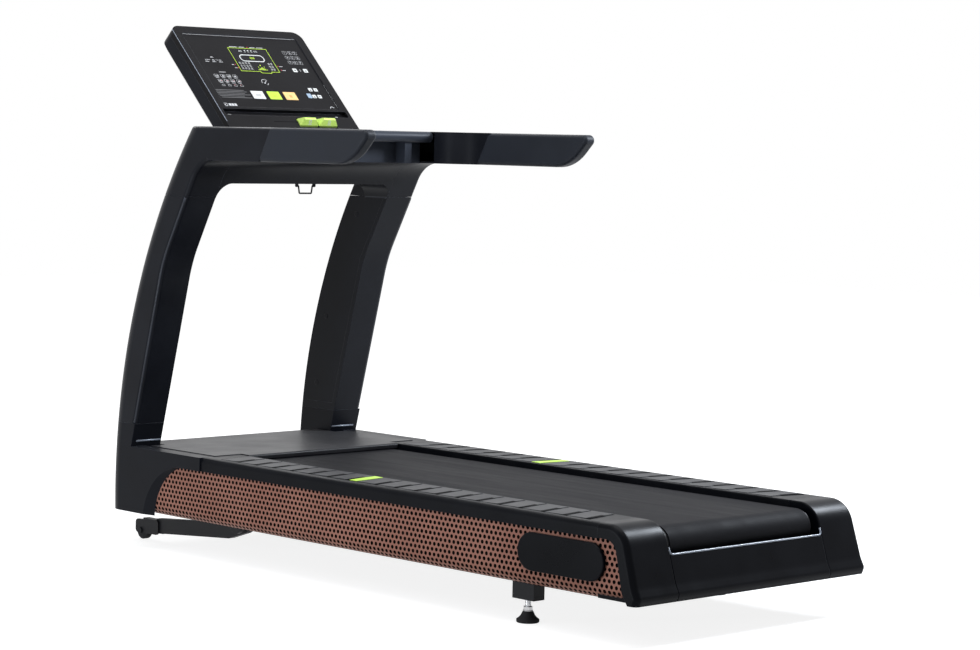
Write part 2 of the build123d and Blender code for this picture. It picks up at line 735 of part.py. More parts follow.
# ------------------------------------------------------------------ incline lift
lean = half_travel
with BuildPart() as lift_frame:
    with BuildSketch(Plane.YZ.offset(-arm_x - arm_width / 2 - 1)):
        with Locations((lift_pivot_y, lift_pivot_z)):
            Circle(torsion_radius)
    extrude(amount=2 * arm_x + arm_width + 2)
    with BuildSketch(Plane.YZ.offset(-arm_x)):
        with Locations((stay_y, stay_z)):
            Circle(stay_radius)
    extrude(amount=2 * arm_x)
    for side, tag in SIDES:
        with BuildSketch(Plane.YZ.offset(side * arm_x - arm_width / 2)):
            with BuildLine():
                Polyline(
                    (lift_pivot_y, lift_pivot_z + arm_boss_radius),
                    (lift_pivot_y + arm_heel, lift_pivot_z - arm_heel_drop + arm_height),
                    (fork_rear + 14, fork_bottom + 4 + arm_height),
                    (fork_rear + 14, fork_bottom + 4),
                    (lift_pivot_y + arm_heel, lift_pivot_z - arm_heel_drop),
                    (lift_pivot_y - 12, lift_pivot_z - arm_boss_radius + 2),
                    close=True,
                )
            make_face()
            with Locations((lift_pivot_y, lift_pivot_z)):
                Circle(arm_boss_radius)
        extrude(amount=arm_width)
        for cheek in (-1, 1):
            inner_face = side * arm_x + cheek * arm_width / 2
            with BuildSketch(Plane.YZ.offset(min(inner_face, inner_face + cheek * fork_plate))):
                with BuildLine():
                    FilletPolyline(
                        (fork_rear, fork_bottom), (wheel_y + fork_tip, fork_bottom - 2),
                        (wheel_y + fork_tip, fork_top - 8), (fork_rear, fork_top),
                        radius=12, close=True,
                    )
                make_face()
            extrude(amount=fork_plate)
        bridge_left = side * arm_x - arm_width / 2
        with BuildSketch(Plane.YZ.offset(bridge_left)):
            with Locations((fork_rear + 14, fork_top - 8)):
                Rectangle(wheel_y - fork_rear - 20, 6, align=(Align.MIN, Align.MIN))
        extrude(amount=arm_width)
        with BuildSketch(Plane.YZ.offset(side * arm_x - arm_width / 2 - fork_plate)):
            with Locations((wheel_y, wheel_radius)):
                Circle(wheel_bolt_radius)
        extrude(amount=arm_width + 2 * fork_plate, mode=Mode.SUBTRACT)
    for side, tag in SIDES:
        end_x = side * (arm_x + arm_width / 2 + 1)
        with Locations(Plane(origin=(end_x, lift_pivot_y, lift_pivot_z), z_dir=(side, 0, 0))):
            Hole(radius=pivot_pin_radius, depth=pivot_pin_depth)
    with BuildSketch(Plane.YZ.offset(lever_x - lever_thickness / 2)):
        slot_radius = (lever_height + lever_height / cos(half_travel)) / 2
        slot_reach = lever_height / cos(half_travel) - lever_height + 2 * rod_pin_play
        slot_centre = (
            lift_pivot_y - slot_radius * sin(lean), lift_pivot_z + slot_radius * cos(lean),
        )
        with BuildLine():
            half_lever = lever_width / 2
            across = (half_lever * cos(lean), half_lever * sin(lean))
            Polyline(
                (lift_pivot_y + across[0], lift_pivot_z + across[1]),
                (slot_centre[0] + across[0], slot_centre[1] + across[1]),
                (slot_centre[0] - across[0], slot_centre[1] - across[1]),
                (lift_pivot_y - across[0], lift_pivot_z - across[1]),
                close=True,
            )
        make_face()
        with Locations(slot_centre):
            Circle(half_lever)
            SlotCenterToCenter(
                slot_reach, 2 * (rod_pin_radius + rod_pin_play),
                rotation=90 + degrees(lean), mode=Mode.SUBTRACT,
            )
    extrude(amount=lever_thickness)
lift_frame.part.label = "lift_frame"
export_step(lift_frame.part, "parts/lift_frame.step")

for side, tag in SIDES:
    with BuildPart() as lift_wheel:
        with BuildSketch(Plane.YZ.offset(side * arm_x - wheel_width / 2)):
            with Locations((wheel_y, wheel_radius)):
                Circle(wheel_radius)
                Circle(wheel_bolt_radius + running, mode=Mode.SUBTRACT)
        extrude(amount=wheel_width)
        rims = lift_wheel.edges().filter_by(GeomType.CIRCLE).filter_by(lambda e: e.radius > wheel_radius - 1)
        fillet(rims, radius=2.5)
    lift_wheel.part.label = f"lift_wheel_{tag}"
    export_step(lift_wheel.part, f"parts/lift_wheel_{tag}.step")

with BuildPart() as lift_pins:
    for side, tag in SIDES:
        pin_start = side * (arm_x + arm_width / 2 + 1 - pivot_pin_depth)
        pin_end = side * (frame_rail_inner - 0.5)
        with BuildSketch(Plane.YZ.offset(min(pin_start, pin_end))):
            with Locations((lift_pivot_y, lift_pivot_z)):
                Circle(pivot_pin_radius)
        extrude(amount=abs(pin_end - pin_start))
        bolt_inner = side * (arm_x - arm_width / 2 - fork_plate)
        bolt_outer = side * (arm_x + arm_width / 2 + fork_plate)
        with BuildSketch(Plane.YZ.offset(min(bolt_inner, bolt_outer))):
            with Locations((wheel_y, wheel_radius)):
                Circle(wheel_bolt_radius)
        extrude(amount=arm_width + 2 * fork_plate)
        with BuildSketch(Plane.YZ.offset(bolt_outer if side > 0 else bolt_outer - 5)):
            with Locations((wheel_y, wheel_radius)):
                Circle(wheel_bolt_head)
        extrude(amount=5)
lift_pins.part.label = "lift_pins"
export_step(lift_pins.part, "parts/lift_pins.step")

with BuildPart() as lift_screw:
    cheek_inner = lever_thickness / 2 + cheek_gap
    cheek_outer = cheek_inner + cheek_thickness
    block_rear = rod_pin_y + lever_width / 2 + 6
    for cheek in (-1, 1):
        cheek_x = lever_x + cheek * cheek_inner
        with BuildSketch(Plane.YZ.offset(min(cheek_x, cheek_x + cheek * cheek_thickness))):
            with Locations((rod_pin_y, rod_z)):
                Circle(11)
                Rectangle(block_rear - rod_pin_y + 2, 22, align=(Align.MIN, Align.CENTER))
        extrude(amount=cheek_thickness)
    with BuildSketch(Plane.YZ.offset(lever_x - cheek_outer)):
        with Locations((rod_pin_y, rod_z)):
            Circle(rod_pin_radius)
        with Locations((block_rear, rod_z)):
            Rectangle(16, 22, align=(Align.MIN, Align.CENTER))
    extrude(amount=2 * cheek_outer)
    with BuildSketch(Plane.XZ.offset(-block_rear - 10)):
        with Locations((lever_x, rod_z)):
            Circle(rod_radius)
    extrude(amount=-(rod_end_y - block_rear - 10))
lift_screw.part.label = "lift_screw"
export_step(lift_screw.part, "parts/lift_screw.step")

with BuildPart() as lift_motor:
    with BuildSketch(Plane.XZ.offset(-rod_tube_rear)):
        with Locations((lever_x, rod_z)):
            Circle(rod_tube_radius)
    extrude(amount=-(gearbox_rear - rod_tube_rear + 2))
    with BuildSketch(Plane.XY.offset(tray_top)):
        with Locations((lever_x, gearbox_rear + 25)):
            RectangleRounded(gearbox_width, gearbox_length, 8, align=(Align.CENTER, Align.MIN))
    extrude(amount=gearbox_height)
    with BuildSketch(Plane.XY.offset(tray_top)):
        with Locations((lever_x, gearbox_rear)):
            Rectangle(gearbox_width / 2, 60, align=(Align.CENTER, Align.MIN))
    extrude(amount=rod_z - tray_top + rod_tube_radius)
    with BuildSketch(Plane.XZ.offset(-gearbox_rear - gearbox_length)):
        with Locations((lever_x, rod_z)):
            Circle(lift_motor_radius)
    extrude(amount=-lift_motor_length)
    with Locations(Plane(origin=(lever_x, rod_tube_rear, rod_z), z_dir=(0, -1, 0))):
        Hole(radius=rod_radius + running, depth=rod_end_y - rod_tube_rear + rod_stroke + 8)
lift_motor.part.label = "lift_motor"
export_step(lift_motor.part, "parts/lift_motor.step")

# ------------------------------------------------------------------ rear levelling feet
for side, tag in SIDES:
    foot_x = side * frame_rail_x
    with BuildPart() as rear_foot:
        with BuildSketch(Plane.XZ.offset(-foot_y)):
            with BuildLine():
                Polyline((foot_x, 0), (foot_x + foot_pad_radius, 0), (foot_x + foot_pad_radius, 8))
                Spline(
                    (foot_x + foot_pad_radius, 8), (foot_x + foot_neck_radius + 6, foot_pad_height - 8),
                    (foot_x + foot_neck_radius, foot_pad_height),
                )
                Polyline((foot_x + foot_neck_radius, foot_pad_height), (foot_x, foot_pad_height), (foot_x, 0))
            make_face()
        revolve(axis=Axis((foot_x, foot_y, 0), (0, 0, 1)))
        with BuildSketch(Plane.XY.offset(foot_pad_height)):
            with Locations((foot_x, foot_y)):
                RegularPolygon(foot_nut_radius, 6)
        extrude(amount=foot_nut_height)
        with BuildSketch(Plane.XY.offset(foot_pad_height + foot_nut_height)):
            with Locations((foot_x, foot_y)):
                Circle(foot_stem_radius)
        extrude(amount=foot_stem_top - foot_pad_height - foot_nut_height)
    rear_foot.part.label = f"rear_foot_{tag}"
    export_step(rear_foot.part, f"parts/rear_foot_{tag}.step")

# ------------------------------------------------------------------ side rails, panels and trim
for side, tag in SIDES:
    with BuildPart() as side_rail:
        with BuildSketch(Plane.XZ.offset(-rail_rear_y)):
            with BuildLine():
                Polyline(
                    (rail_inner, frame_rail_top), (rail_inner, rail_top), (rail_outer, rail_top),
                    (rail_outer, rail_skirt_bottom), (rail_outer - rail_skirt, rail_skirt_bottom),
                    (rail_outer - rail_skirt, rail_top - rail_wall - rail_corner_fill),
                    (rail_outer - rail_skirt - rail_corner_fill, rail_top - rail_wall),
                    (rail_inner + rail_wall, rail_top - rail_wall),
                    (rail_inner + rail_wall, frame_rail_top),
                    close=True,
                )
            make_face()
            for rib_x in (frame_rail_inner + rail_rib_inset, frame_rail_outer - rail_rib_inset):
                with Locations((rib_x, frame_rail_top)):
                    Rectangle(rail_wall, rail_top - frame_rail_top, align=(Align.CENTER, Align.MIN))
        extrude(amount=-(rail_front_y - rail_rear_y))
        top_edges = side_rail.edges().filter_by(Axis.Y).group_by(Axis.Z)[-1].sort_by(Axis.X)
        fillet(top_edges[-1], radius=rail_outer_round)
        fillet(top_edges[0], radius=rail_inner_round)
        if side < 0:
            mirror(about=Plane.YZ, mode=Mode.REPLACE)
    side_rail.part.label = f"side_rail_{tag}"
    export_step(side_rail.part, f"parts/side_rail_{tag}.step")

    with BuildPart() as side_panel:
        panel_top = rail_skirt_bottom + panel_overlap
        panel_back = panel_outer - panel_thickness
        curl_x = panel_outer - panel_curl_radius
        curl_z = panel_curl_top - panel_curl_radius
        inner_curl = panel_curl_radius - panel_thickness
        with BuildSketch(Plane.XZ.offset(-rear_y)):
            with BuildLine():
                Line((panel_outer, panel_top), (panel_outer, panel_curl_top))
                RadiusArc((panel_outer, panel_curl_top), (curl_x, curl_z), panel_curl_radius)
                Polyline(
                    (curl_x, curl_z), (curl_x - panel_return, curl_z),
                    (curl_x - panel_return, curl_z + panel_thickness), (curl_x, curl_z + panel_thickness),
                )
                RadiusArc((curl_x, curl_z + panel_thickness), (panel_back, panel_curl_top), -inner_curl)
                Polyline((panel_back, panel_curl_top), (panel_back, panel_top), (panel_outer, panel_top))
            make_face()
        extrude(amount=-(panel_front_y - rear_y))
        with BuildSketch(Plane.YZ.offset(curl_x - panel_return - 1)):
            with BuildLine():
                Polyline(
                    (rear_y - 1, curl_z - 1), (panel_rear_foot_y, curl_z - 1),
                    (panel_rear_top_y, panel_top + 1), (rear_y - 1, panel_top + 1), close=True,
                )
            make_face()
        extrude(amount=panel_curl_radius + panel_return + 2, mode=Mode.SUBTRACT)
        if side < 0:
            mirror(about=Plane.YZ, mode=Mode.REPLACE)
    side_panel.part.label = f"side_panel_{tag}"
    export_step(side_panel.part, f"parts/side_panel_{tag}.step")

with BuildPart() as tread_markers:
    marker_width = rail_outer - rail_inner - 2 * marker_inset
    for side, tag in SIDES:
        with BuildSketch(Plane.XY.offset(rail_top)):
            with Locations((side * (rail_inner + rail_outer) / 2, marker_y)):
                RectangleRounded(marker_width, marker_length, 6)
        extrude(amount=marker_thickness)
tread_markers.part.label = "tread_markers"
export_step(tread_markers.part, "parts/tread_markers.step")

with BuildPart() as badge_plates:
    for side, tag in SIDES:
        with BuildSketch(Plane.YZ.offset(side * panel_outer)):
            with Locations((badge_y, badge_z)):
                SlotOverall(badge_length, badge_height)
        extrude(amount=side * badge_thickness)
    faces = badge_plates.edges().group_by(Axis.X)
    fillet(faces[0] + faces[-1], radius=badge_round)
badge_plates.part.label = "badge_plates"
export_step(badge_plates.part, "parts/badge_plates.step")

# ------------------------------------------------------------------ rear bumper
def bumper_rear(inset):
    """Rear outline of the bumper, from its top down to its foot."""
    return [
        (bumper_heel_y + bumper_lean * (rail_top - bumper_heel_z) + inset, rail_top - inset),
        (bumper_heel_y + inset, bumper_heel_z),
        (bumper_toe_y + inset, bumper_toe_z), (bumper_toe_y + bumper_foot + inset, bumper_bottom + inset),
    ]


for side, tag in SIDES:
    with BuildPart() as rear_corner_cap:
        with BuildSketch(Plane.YZ.offset(bumper_inner)):
            with BuildLine():
                outline = [(bumper_front_y, rail_top), *bumper_rear(0)]
                FilletPolyline(*outline, radius=(bumper_top_round, *bumper_rounds))
                Polyline(outline[-1], (bumper_front_y, bumper_bottom), (bumper_front_y, rail_top))
            make_face()
        extrude(amount=half_width - bumper_inner)
        with BuildSketch(Plane.XZ.offset(-rear_y + 20)):
            with BuildLine():
                Polyline(
                    (half_width - bumper_side_lean, rail_top + 1), (half_width, bumper_bottom - 1),
                    (half_width + 20, bumper_bottom - 1), (half_width + 20, rail_top + 1), close=True,
                )
            make_face()
        extrude(amount=-300, mode=Mode.SUBTRACT)
        rim = rear_corner_cap.edges().filter_by(
            lambda e: e.center().Y < bumper_front_y - 1 and e.center().Z > bumper_bottom + 1
        )
        side_rim = rim.filter_by(lambda e: e.center().X > half_width - bumper_side_lean - 1)
        fillet(side_rim, radius=rail_outer_round)
        top_rim = rear_corner_cap.edges().filter_by(
            lambda e: e.center().X < bumper_inner + 1 and e.center().Z > bumper_lip_z
            and e.center().Y < bumper_front_y - 1
        )
        fillet(top_rim, radius=rail_inner_round)
        cap_side = half_width - bumper_side_lean - bumper_inner - 2 * bumper_wall
        for inset, depth in (
            (bumper_wall, cap_side - bumper_corner_fill + 2),
            (bumper_wall + bumper_corner_fill, cap_side),
        ):
            with BuildSketch(Plane.YZ.offset(bumper_inner + bumper_wall)):
                with BuildLine():
                    hollow = [(bumper_front_y - 1, rail_top - inset), *bumper_rear(inset)]
                    hollow_rounds = [r - inset for r in (bumper_top_round, *bumper_rounds)]
                    FilletPolyline(*hollow, radius=hollow_rounds)
                    Polyline(
                        hollow[-1], (bumper_front_y + 1, bumper_bottom + inset),
                        (bumper_front_y + 1, rail_top - inset), hollow[0],
                    )
                make_face()
            extrude(amount=depth, mode=Mode.SUBTRACT)
        with BuildSketch(Plane.YZ.offset(panel_outer + panel_play)):
            with BuildLine():
                arch = [
                    (bumper_front_y + 1, bumper_seam_z), (bumper_arch_rear_y, bumper_seam_z),
                    bumper_arch_knee, (bumper_arch_foot_y, bumper_bottom - 1),
                ]
                FilletPolyline(*arch, radius=bumper_arch_rounds)
                Polyline(arch[-1], (bumper_front_y + 1, bumper_bottom - 1), arch[0])
            make_face()
        extrude(amount=half_width - panel_outer, mode=Mode.SUBTRACT)
        with BuildSketch(Plane.XY.offset(bumper_bottom - 1)):
            with Locations((panel_outer + panel_play, bumper_front_y + 1)):
                Rectangle(panel_slot, bumper_front_y + 1 - panel_slot_rear_y, align=(Align.MAX, Align.MAX))
        extrude(amount=bumper_wall + 2, mode=Mode.SUBTRACT)
        with BuildSketch(Plane.YZ.offset(bumper_inner - 1)):
            with Locations((rear_roller_y, roller_z)):
                Circle(axle_radius + tube_play)
        extrude(amount=bumper_wall + 2, mode=Mode.SUBTRACT)
        if side < 0:
            mirror(about=Plane.YZ, mode=Mode.REPLACE)
    rear_corner_cap.part.label = f"rear_corner_cap_{tag}"
    export_step(rear_corner_cap.part, f"parts/rear_corner_cap_{tag}.step")

with BuildPart() as rear_center_cover:
    outer_line = bumper_rear(0)
    inner_line = bumper_rear(bumper_wall)
    with BuildSketch(Plane.YZ.offset(-bumper_inner + seam)):
        with BuildLine():
            FilletPolyline(*outer_line, radius=bumper_rounds)
            Polyline(
                outer_line[-1], (bumper_front_y, bumper_bottom),
                (bumper_front_y, bumper_bottom + bumper_wall), inner_line[-1],
            )
            FilletPolyline(*reversed(inner_line), radius=[r - bumper_wall for r in bumper_rounds[::-1]])
            Line(inner_line[0], outer_line[0])
        make_face()
        with Locations((0, bumper_lip_z)):
            Rectangle(8 * length, 400, align=(Align.CENTER, Align.MIN), mode=Mode.SUBTRACT)
    extrude(amount=2 * (bumper_inner - seam))
    with BuildSketch(Plane.XY.offset(bumper_lip_z - bumper_wall)):
        lip_y = bumper_heel_y + (bumper_lip_z - bumper_heel_z) * bumper_lean
        with Locations((0, lip_y + bumper_lip_overlap)):
            Rectangle(2 * (bumper_inner - seam), bumper_lip_width, align=(Align.CENTER, Align.MIN))
    extrude(amount=bumper_wall)
rear_center_cover.part.label = "rear_center_cover"
export_step(rear_center_cover.part, "parts/rear_center_cover.step")

# ------------------------------------------------------------------ front fairings, hood and belly pan
tail_front_y = column_rear(rail_top) + 25
for side, tag in SIDES:
    with BuildPart() as front_fairing:
        add(column_solid.part)
        with BuildSketch(Plane.YZ.offset(hood_half + seam)):
            with BuildLine():
                Polyline(
                    (rail_front_y + seam, column_foot_z), (rail_front_y + seam, rail_top),
                    (tail_front_y, rail_top), (column_rear(column_foot_z) + 5, column_foot_z),
                    close=True,
                )
            make_face()
        extrude(amount=column_outer - hood_half - seam)
        split(bisect_by=Plane.XY.offset(collar_seam_z), keep=Keep.BOTTOM)
        with BuildSketch(Plane.YZ.offset(column_outer + 1)) as arch_outer:
            with BuildLine():
                ThreePointArc(
                    (arch_foot_y, column_foot_z - 1), (arch_foot_y - 53, rail_skirt_bottom - 56),
                    (arch_top_y, rail_skirt_bottom),
                )
                Polyline(
                    (arch_top_y, rail_skirt_bottom), (rail_front_y - 1, rail_skirt_bottom),
                    (rail_front_y - 1, column_foot_z - 1), (arch_foot_y, column_foot_z - 1),
                )
            make_face()
        with BuildSketch(Plane.YZ.offset(panel_outer)) as arch_inner:
            with BuildLine():
                ThreePointArc(
                    (reveal_foot_y, column_foot_z - 1), (reveal_foot_y - 33, rail_skirt_bottom - 64),
                    (reveal_top_y, rail_skirt_bottom),
                )
                Polyline(
                    (reveal_top_y, rail_skirt_bottom), (rail_front_y - 1, rail_skirt_bottom),
                    (rail_front_y - 1, column_foot_z - 1), (reveal_foot_y, column_foot_z - 1),
                )
            make_face()
        loft(sections=[arch_outer.sketch.face(), arch_inner.sketch.face()], ruled=True, mode=Mode.SUBTRACT)
        add(column_void.part, mode=Mode.SUBTRACT)
        with BuildSketch(Plane.YZ.offset(hood_half + seam - 1)):
            with BuildLine():
                Polyline(
                    (rail_front_y, column_foot_z - 1), (rail_front_y, rail_top - rail_wall),
                    (tail_front_y + 20, rail_top - rail_wall), (column_foot_rear + column_wall + 4, column_foot_z - 1),
                    close=True,
                )
            make_face()
        extrude(amount=panel_outer - hood_half + 1, mode=Mode.SUBTRACT)
        with BuildSketch(Plane.XY.offset(tray_top - tray_thickness - 1)):
            with Locations((column_inner - 1, hood_neck_y)):
                Rectangle(
                    frame_rail_outer - column_inner + 2, tray_front + 1 - hood_neck_y,
                    align=(Align.MIN, Align.MIN),
                )
        extrude(amount=frame_rail_top - tray_top + tray_thickness + 2, mode=Mode.SUBTRACT)
        if side < 0:
            mirror(about=Plane.YZ, mode=Mode.REPLACE)
    front_fairing.part.label = f"front_fairing_{tag}"
    export_step(front_fairing.part, f"parts/front_fairing_{tag}.step")

with BuildPart() as motor_hood:
    hood_outline, hood_inline = (
        [
            (hood_rear_y + inset, belt_top + hood_lip_gap), (hood_rear_y + inset, hood_top - inset),
            (hood_front_y - inset, hood_top - inset), (hood_front_y + hood_chin - inset, hood_chin_z),
            (hood_front_y + hood_toe - inset, pan_z),
        ]
        for inset in (0, hood_wall)
    )
    with BuildSketch(Plane.YZ.offset(-hood_half)):
        with BuildLine():
            FilletPolyline(*hood_outline, radius=hood_rounds)
            Polyline(hood_outline[-1], hood_inline[-1])
            FilletPolyline(*reversed(hood_inline), radius=[r - hood_wall for r in hood_rounds[::-1]])
            Line(hood_inline[0], hood_outline[0])
        make_face()
    extrude(amount=2 * hood_half)
    for side, tag in SIDES:
        with BuildSketch(Plane.XY.offset(pan_z - 1)):
            with Locations((side * hood_half, hood_neck_y)):
                Rectangle(
                    2 * (hood_half - hood_neck_half), 400, align=(Align.CENTER, Align.MIN),
                )
            with Locations((side * (hood_half + 20), hood_rear_y - 1)):
                Rectangle(
                    2 * (hood_half + 20 - rail_inner + 3), rail_front_y - hood_rear_y + 1.5,
                    align=(Align.CENTER, Align.MIN),
                )
        extrude(amount=hood_top, mode=Mode.SUBTRACT)
        with BuildSketch(Plane.XY.offset(frame_rail_top)):
            with Locations((side * (hood_half - hood_wall / 2), rail_front_y + 1)):
                Rectangle(hood_wall, hood_neck_y - rail_front_y - 1, align=(Align.CENTER, Align.MIN))
        extrude(amount=hood_top - hood_wall - frame_rail_top + 1)
    with BuildSketch(Plane.XZ.offset(-hood_front_y + 12)):
        with Locations((inlet_x, inlet_z)):
            Rectangle(inlet_size[0], inlet_size[2])
    extrude(amount=-40, mode=Mode.SUBTRACT)
motor_hood.part.label = "motor_hood"
export_step(motor_hood.part, "parts/motor_hood.step")

with BuildPart() as mains_inlet:
    inlet_back = hood_front_y + 6
    with BuildSketch(Plane.XZ.offset(-inlet_back + inlet_size[1])):
        with Locations((inlet_x, inlet_z)):
            RectangleRounded(inlet_size[0] - 2 * seam, inlet_size[2] - 2 * seam, 3)
    extrude(amount=-inlet_size[1])
    with BuildSketch(Plane.XZ.offset(-inlet_back)):
        with Locations((inlet_x, inlet_z)):
            RectangleRounded(inlet_recess[0], inlet_recess[2], 3)
    extrude(amount=inlet_recess[1], mode=Mode.SUBTRACT)
    with BuildSketch(Plane.XZ.offset(-inlet_back + inlet_recess[1])):
        for pin_shift in (-pin_pitch, 0, pin_pitch):
            with Locations((inlet_x + pin_shift, inlet_z)):
                Rectangle(2, 6)
    extrude(amount=-(inlet_recess[1] - 4))
mains_inlet.part.label = "mains_inlet"
export_step(mains_inlet.part, "parts/mains_inlet.step")

with BuildPart() as belly_pan:
    pan_length = hood_front_y - pan_rear_y
    with BuildSketch(Plane.XY.offset(pan_z)):
        with Locations((0, pan_rear_y)):
            Rectangle(2 * pan_half, pan_length, align=(Align.CENTER, Align.MIN))
    extrude(amount=pan_thickness)
    for side, tag in SIDES:
        with BuildSketch(Plane.XY.offset(pan_z)):
            with Locations((side * (pan_half - pan_thickness / 2), tray_rear)):
                Rectangle(pan_thickness, tray_front - tray_rear, align=(Align.CENTER, Align.MIN))
        extrude(amount=tray_top - tray_thickness - pan_z)
belly_pan.part.label = "belly_pan"
export_step(belly_pan.part, "parts/belly_pan.step")

# ------------------------------------------------------------------ upright covers
for side, tag in SIDES:
    with BuildPart() as upright_cover:
        add(column_solid.part)
        add(band(collar_seam_z + seam, shoulder_seam_z - seam), mode=Mode.INTERSECT)
        rear_edges = upright_cover.edges().filter_by(lambda e: e.bounding_box().size.Z > 60)
        rear_edges = rear_edges.filter_by(
            lambda e: e.center().X > column_outer - 1 and e.center().Y < column_front(e.center().Z) - 40
        )
        fillet(rear_edges, radius=column_outer_round)
        add(column_void.part, mode=Mode.SUBTRACT)
        with BuildSketch(Plane.YZ.offset(column_inner)):
            with BuildLine():
                low_z = collar_seam_z + 24
                high_z = shoulder_seam_z + 60
                knee_y, knee_z = column_knee
                upper_lean = (column_shoulder_y - knee_y) / (handrail_bottom - knee_z)
                Polyline(
                    (column_rear(low_z) + recess_border, low_z),
                    (knee_y + recess_border, knee_z),
                    (knee_y + recess_border + upper_lean * (high_z - knee_z), high_z),
                    (front_y + 50, high_z), (front_y + 50, low_z),
                    close=True,
                )
            make_face()
        extrude(amount=recess_depth, mode=Mode.SUBTRACT)
        if side < 0:
            mirror(about=Plane.YZ, mode=Mode.REPLACE)
    upright_cover.part.label = f"upright_cover_{tag}"
    export_step(upright_cover.part, f"parts/upright_cover_{tag}.step")

# ------------------------------------------------------------------ handrails
for side, tag in SIDES:
    with BuildPart() as rail_blank:
        with BuildSketch(Plane.YZ.offset(column_inner - 5)):
            with BuildLine():
                tip = [
                    (neck_end_y + 150, handrail_top), (handrail_tip_y - 4, handrail_top),
                    (handrail_tip_y + handrail_tip_reach, handrail_bottom), (neck_end_y + 150, handrail_bottom),
                ]
                FilletPolyline(*tip, radius=[handrail_tip_round, handrail_tip_sweep])
                Line(tip[-1], tip[0])
            make_face()
        extrude(amount=column_outer - column_inner + 10)
        with BuildSketch(Plane.XY.offset(handrail_bottom - 5)) as plan:
            with BuildLine():
                Line((handrail_inner, handrail_tip_y - 20), (handrail_inner, neck_start_y))
                Bezier(
                    (handrail_inner, neck_start_y), (handrail_inner, (neck_start_y + neck_end_y) / 2 + 10),
                    (neck_x, (neck_start_y + neck_end_y) / 2 - 10), (neck_x, neck_end_y),
                )
                Polyline(
                    (neck_x, neck_end_y), (neck_x, neck_end_y + 100), (handrail_outer, neck_end_y + 100),
                    (handrail_outer, handrail_tip_y - 20), (handrail_inner, handrail_tip_y - 20),
                )
            make_face()
        extrude(amount=handrail_top - handrail_bottom + 10, mode=Mode.INTERSECT)
    with BuildPart() as handrail_grip:
        add(rail_blank.part)
        with BuildSketch(Plane.YZ.offset(column_inner - 10)):
            with BuildLine():
                Polyline(
                    (grip_seam_top_y, handrail_top + 1), (grip_seam_bottom_y, handrail_bottom - 1),
                    (handrail_tip_y - 30, handrail_bottom - 1), (handrail_tip_y - 30, handrail_top + 1),
                    close=True,
                )
            make_face()
        extrude(amount=200, mode=Mode.INTERSECT)
        long_edges = handrail_grip.edges().filter_by(
            lambda e: abs(e.center().X - handrail_inner) < 0.2 or abs(e.center().X - handrail_outer) < 0.2
        )
        seam_edges = long_edges.filter_by(lambda e: e.center().Y > grip_seam_top_y - 1)
        fillet(long_edges - seam_edges, radius=handrail_round)
        with BuildSketch(Plane.XZ.offset(-grip_tube_y)):
            with Locations((grip_tube_x, grip_tube_z)):
                Rectangle(grip_tube_width + 1, grip_tube_height + 1)
        extrude(amount=-length, mode=Mode.SUBTRACT)
        if side < 0:
            mirror(about=Plane.YZ, mode=Mode.REPLACE)
    handrail_grip.part.label = f"handrail_grip_{tag}"
    export_step(handrail_grip.part, f"parts/handrail_grip_{tag}.step")

    with BuildPart() as handrail_corner:
        add(column_solid.part)
        add(band(shoulder_seam_z + seam, handrail_top), mode=Mode.INTERSECT)
        rear_edges = handrail_corner.edges().filter_by(
            lambda e: e.center().X > column_outer - 1 and e.bounding_box().size.Z > 30
            and e.center().Y < column_front(e.center().Z) - 40
        )
        fillet(rear_edges, radius=column_outer_round)
        with BuildSketch(Plane.XY.offset(handrail_bottom - seam)):
            with Locations((column_inner - 1, neck_end_y - 20)):
                Rectangle(neck_x - column_inner + 1, 800, align=(Align.MIN, Align.MIN))
        extrude(amount=400, mode=Mode.SUBTRACT)
        add(rail_blank.part)
        with BuildSketch(Plane.YZ.offset(column_inner - 10)):
            with BuildLine():
                Polyline(
                    (grip_seam_top_y + seam, handrail_top + 1),
                    (grip_seam_bottom_y + seam, handrail_bottom - 1),
                    (handrail_tip_y - 30, handrail_bottom - 1), (handrail_tip_y - 30, handrail_top + 1),
                    close=True,
                )
            make_face()
        extrude(amount=200, mode=Mode.SUBTRACT)
        top_edges = handrail_corner.edges().group_by(Axis.Z)[-1]
        outer_top = top_edges.filter_by(lambda e: e.center().X > column_outer - 1)
        fillet(outer_top, radius=handrail_round)
        add(column_void.part, mode=Mode.SUBTRACT)
        with BuildSketch(Plane.YZ.offset(column_inner - 1)):
            with Locations((beam_y, beam_z)):
                Rectangle(beam_depth + 2 * tube_play, beam_height + 2 * tube_play)
        extrude(amount=column_wall + 2, mode=Mode.SUBTRACT)
        with BuildSketch(Plane.XZ.offset(-grip_tube_y)):
            with Locations((grip_tube_x, grip_tube_z)):
                Rectangle(grip_tube_width + 1, grip_tube_height + 1)
        extrude(amount=-(neck_end_y + 40 - grip_tube_y), mode=Mode.SUBTRACT)
        with BuildSketch(Plane.YZ.offset(column_inner)):
            with BuildLine():
                low_z = shoulder_seam_z - 1
                Polyline(
                    (knee_y + recess_border + upper_lean * (low_z - knee_z), low_z),
                    (knee_y + recess_border + upper_lean * (crossbar_bottom - knee_z), crossbar_bottom),
                    (front_y + 50, crossbar_bottom), (front_y + 50, low_z),
                    close=True,
                )
            make_face()
        extrude(amount=recess_depth, mode=Mode.SUBTRACT)
        if side < 0:
            mirror(about=Plane.YZ, mode=Mode.REPLACE)
    handrail_corner.part.label = f"handrail_corner_{tag}"
    export_step(handrail_corner.part, f"parts/handrail_corner_{tag}.step")

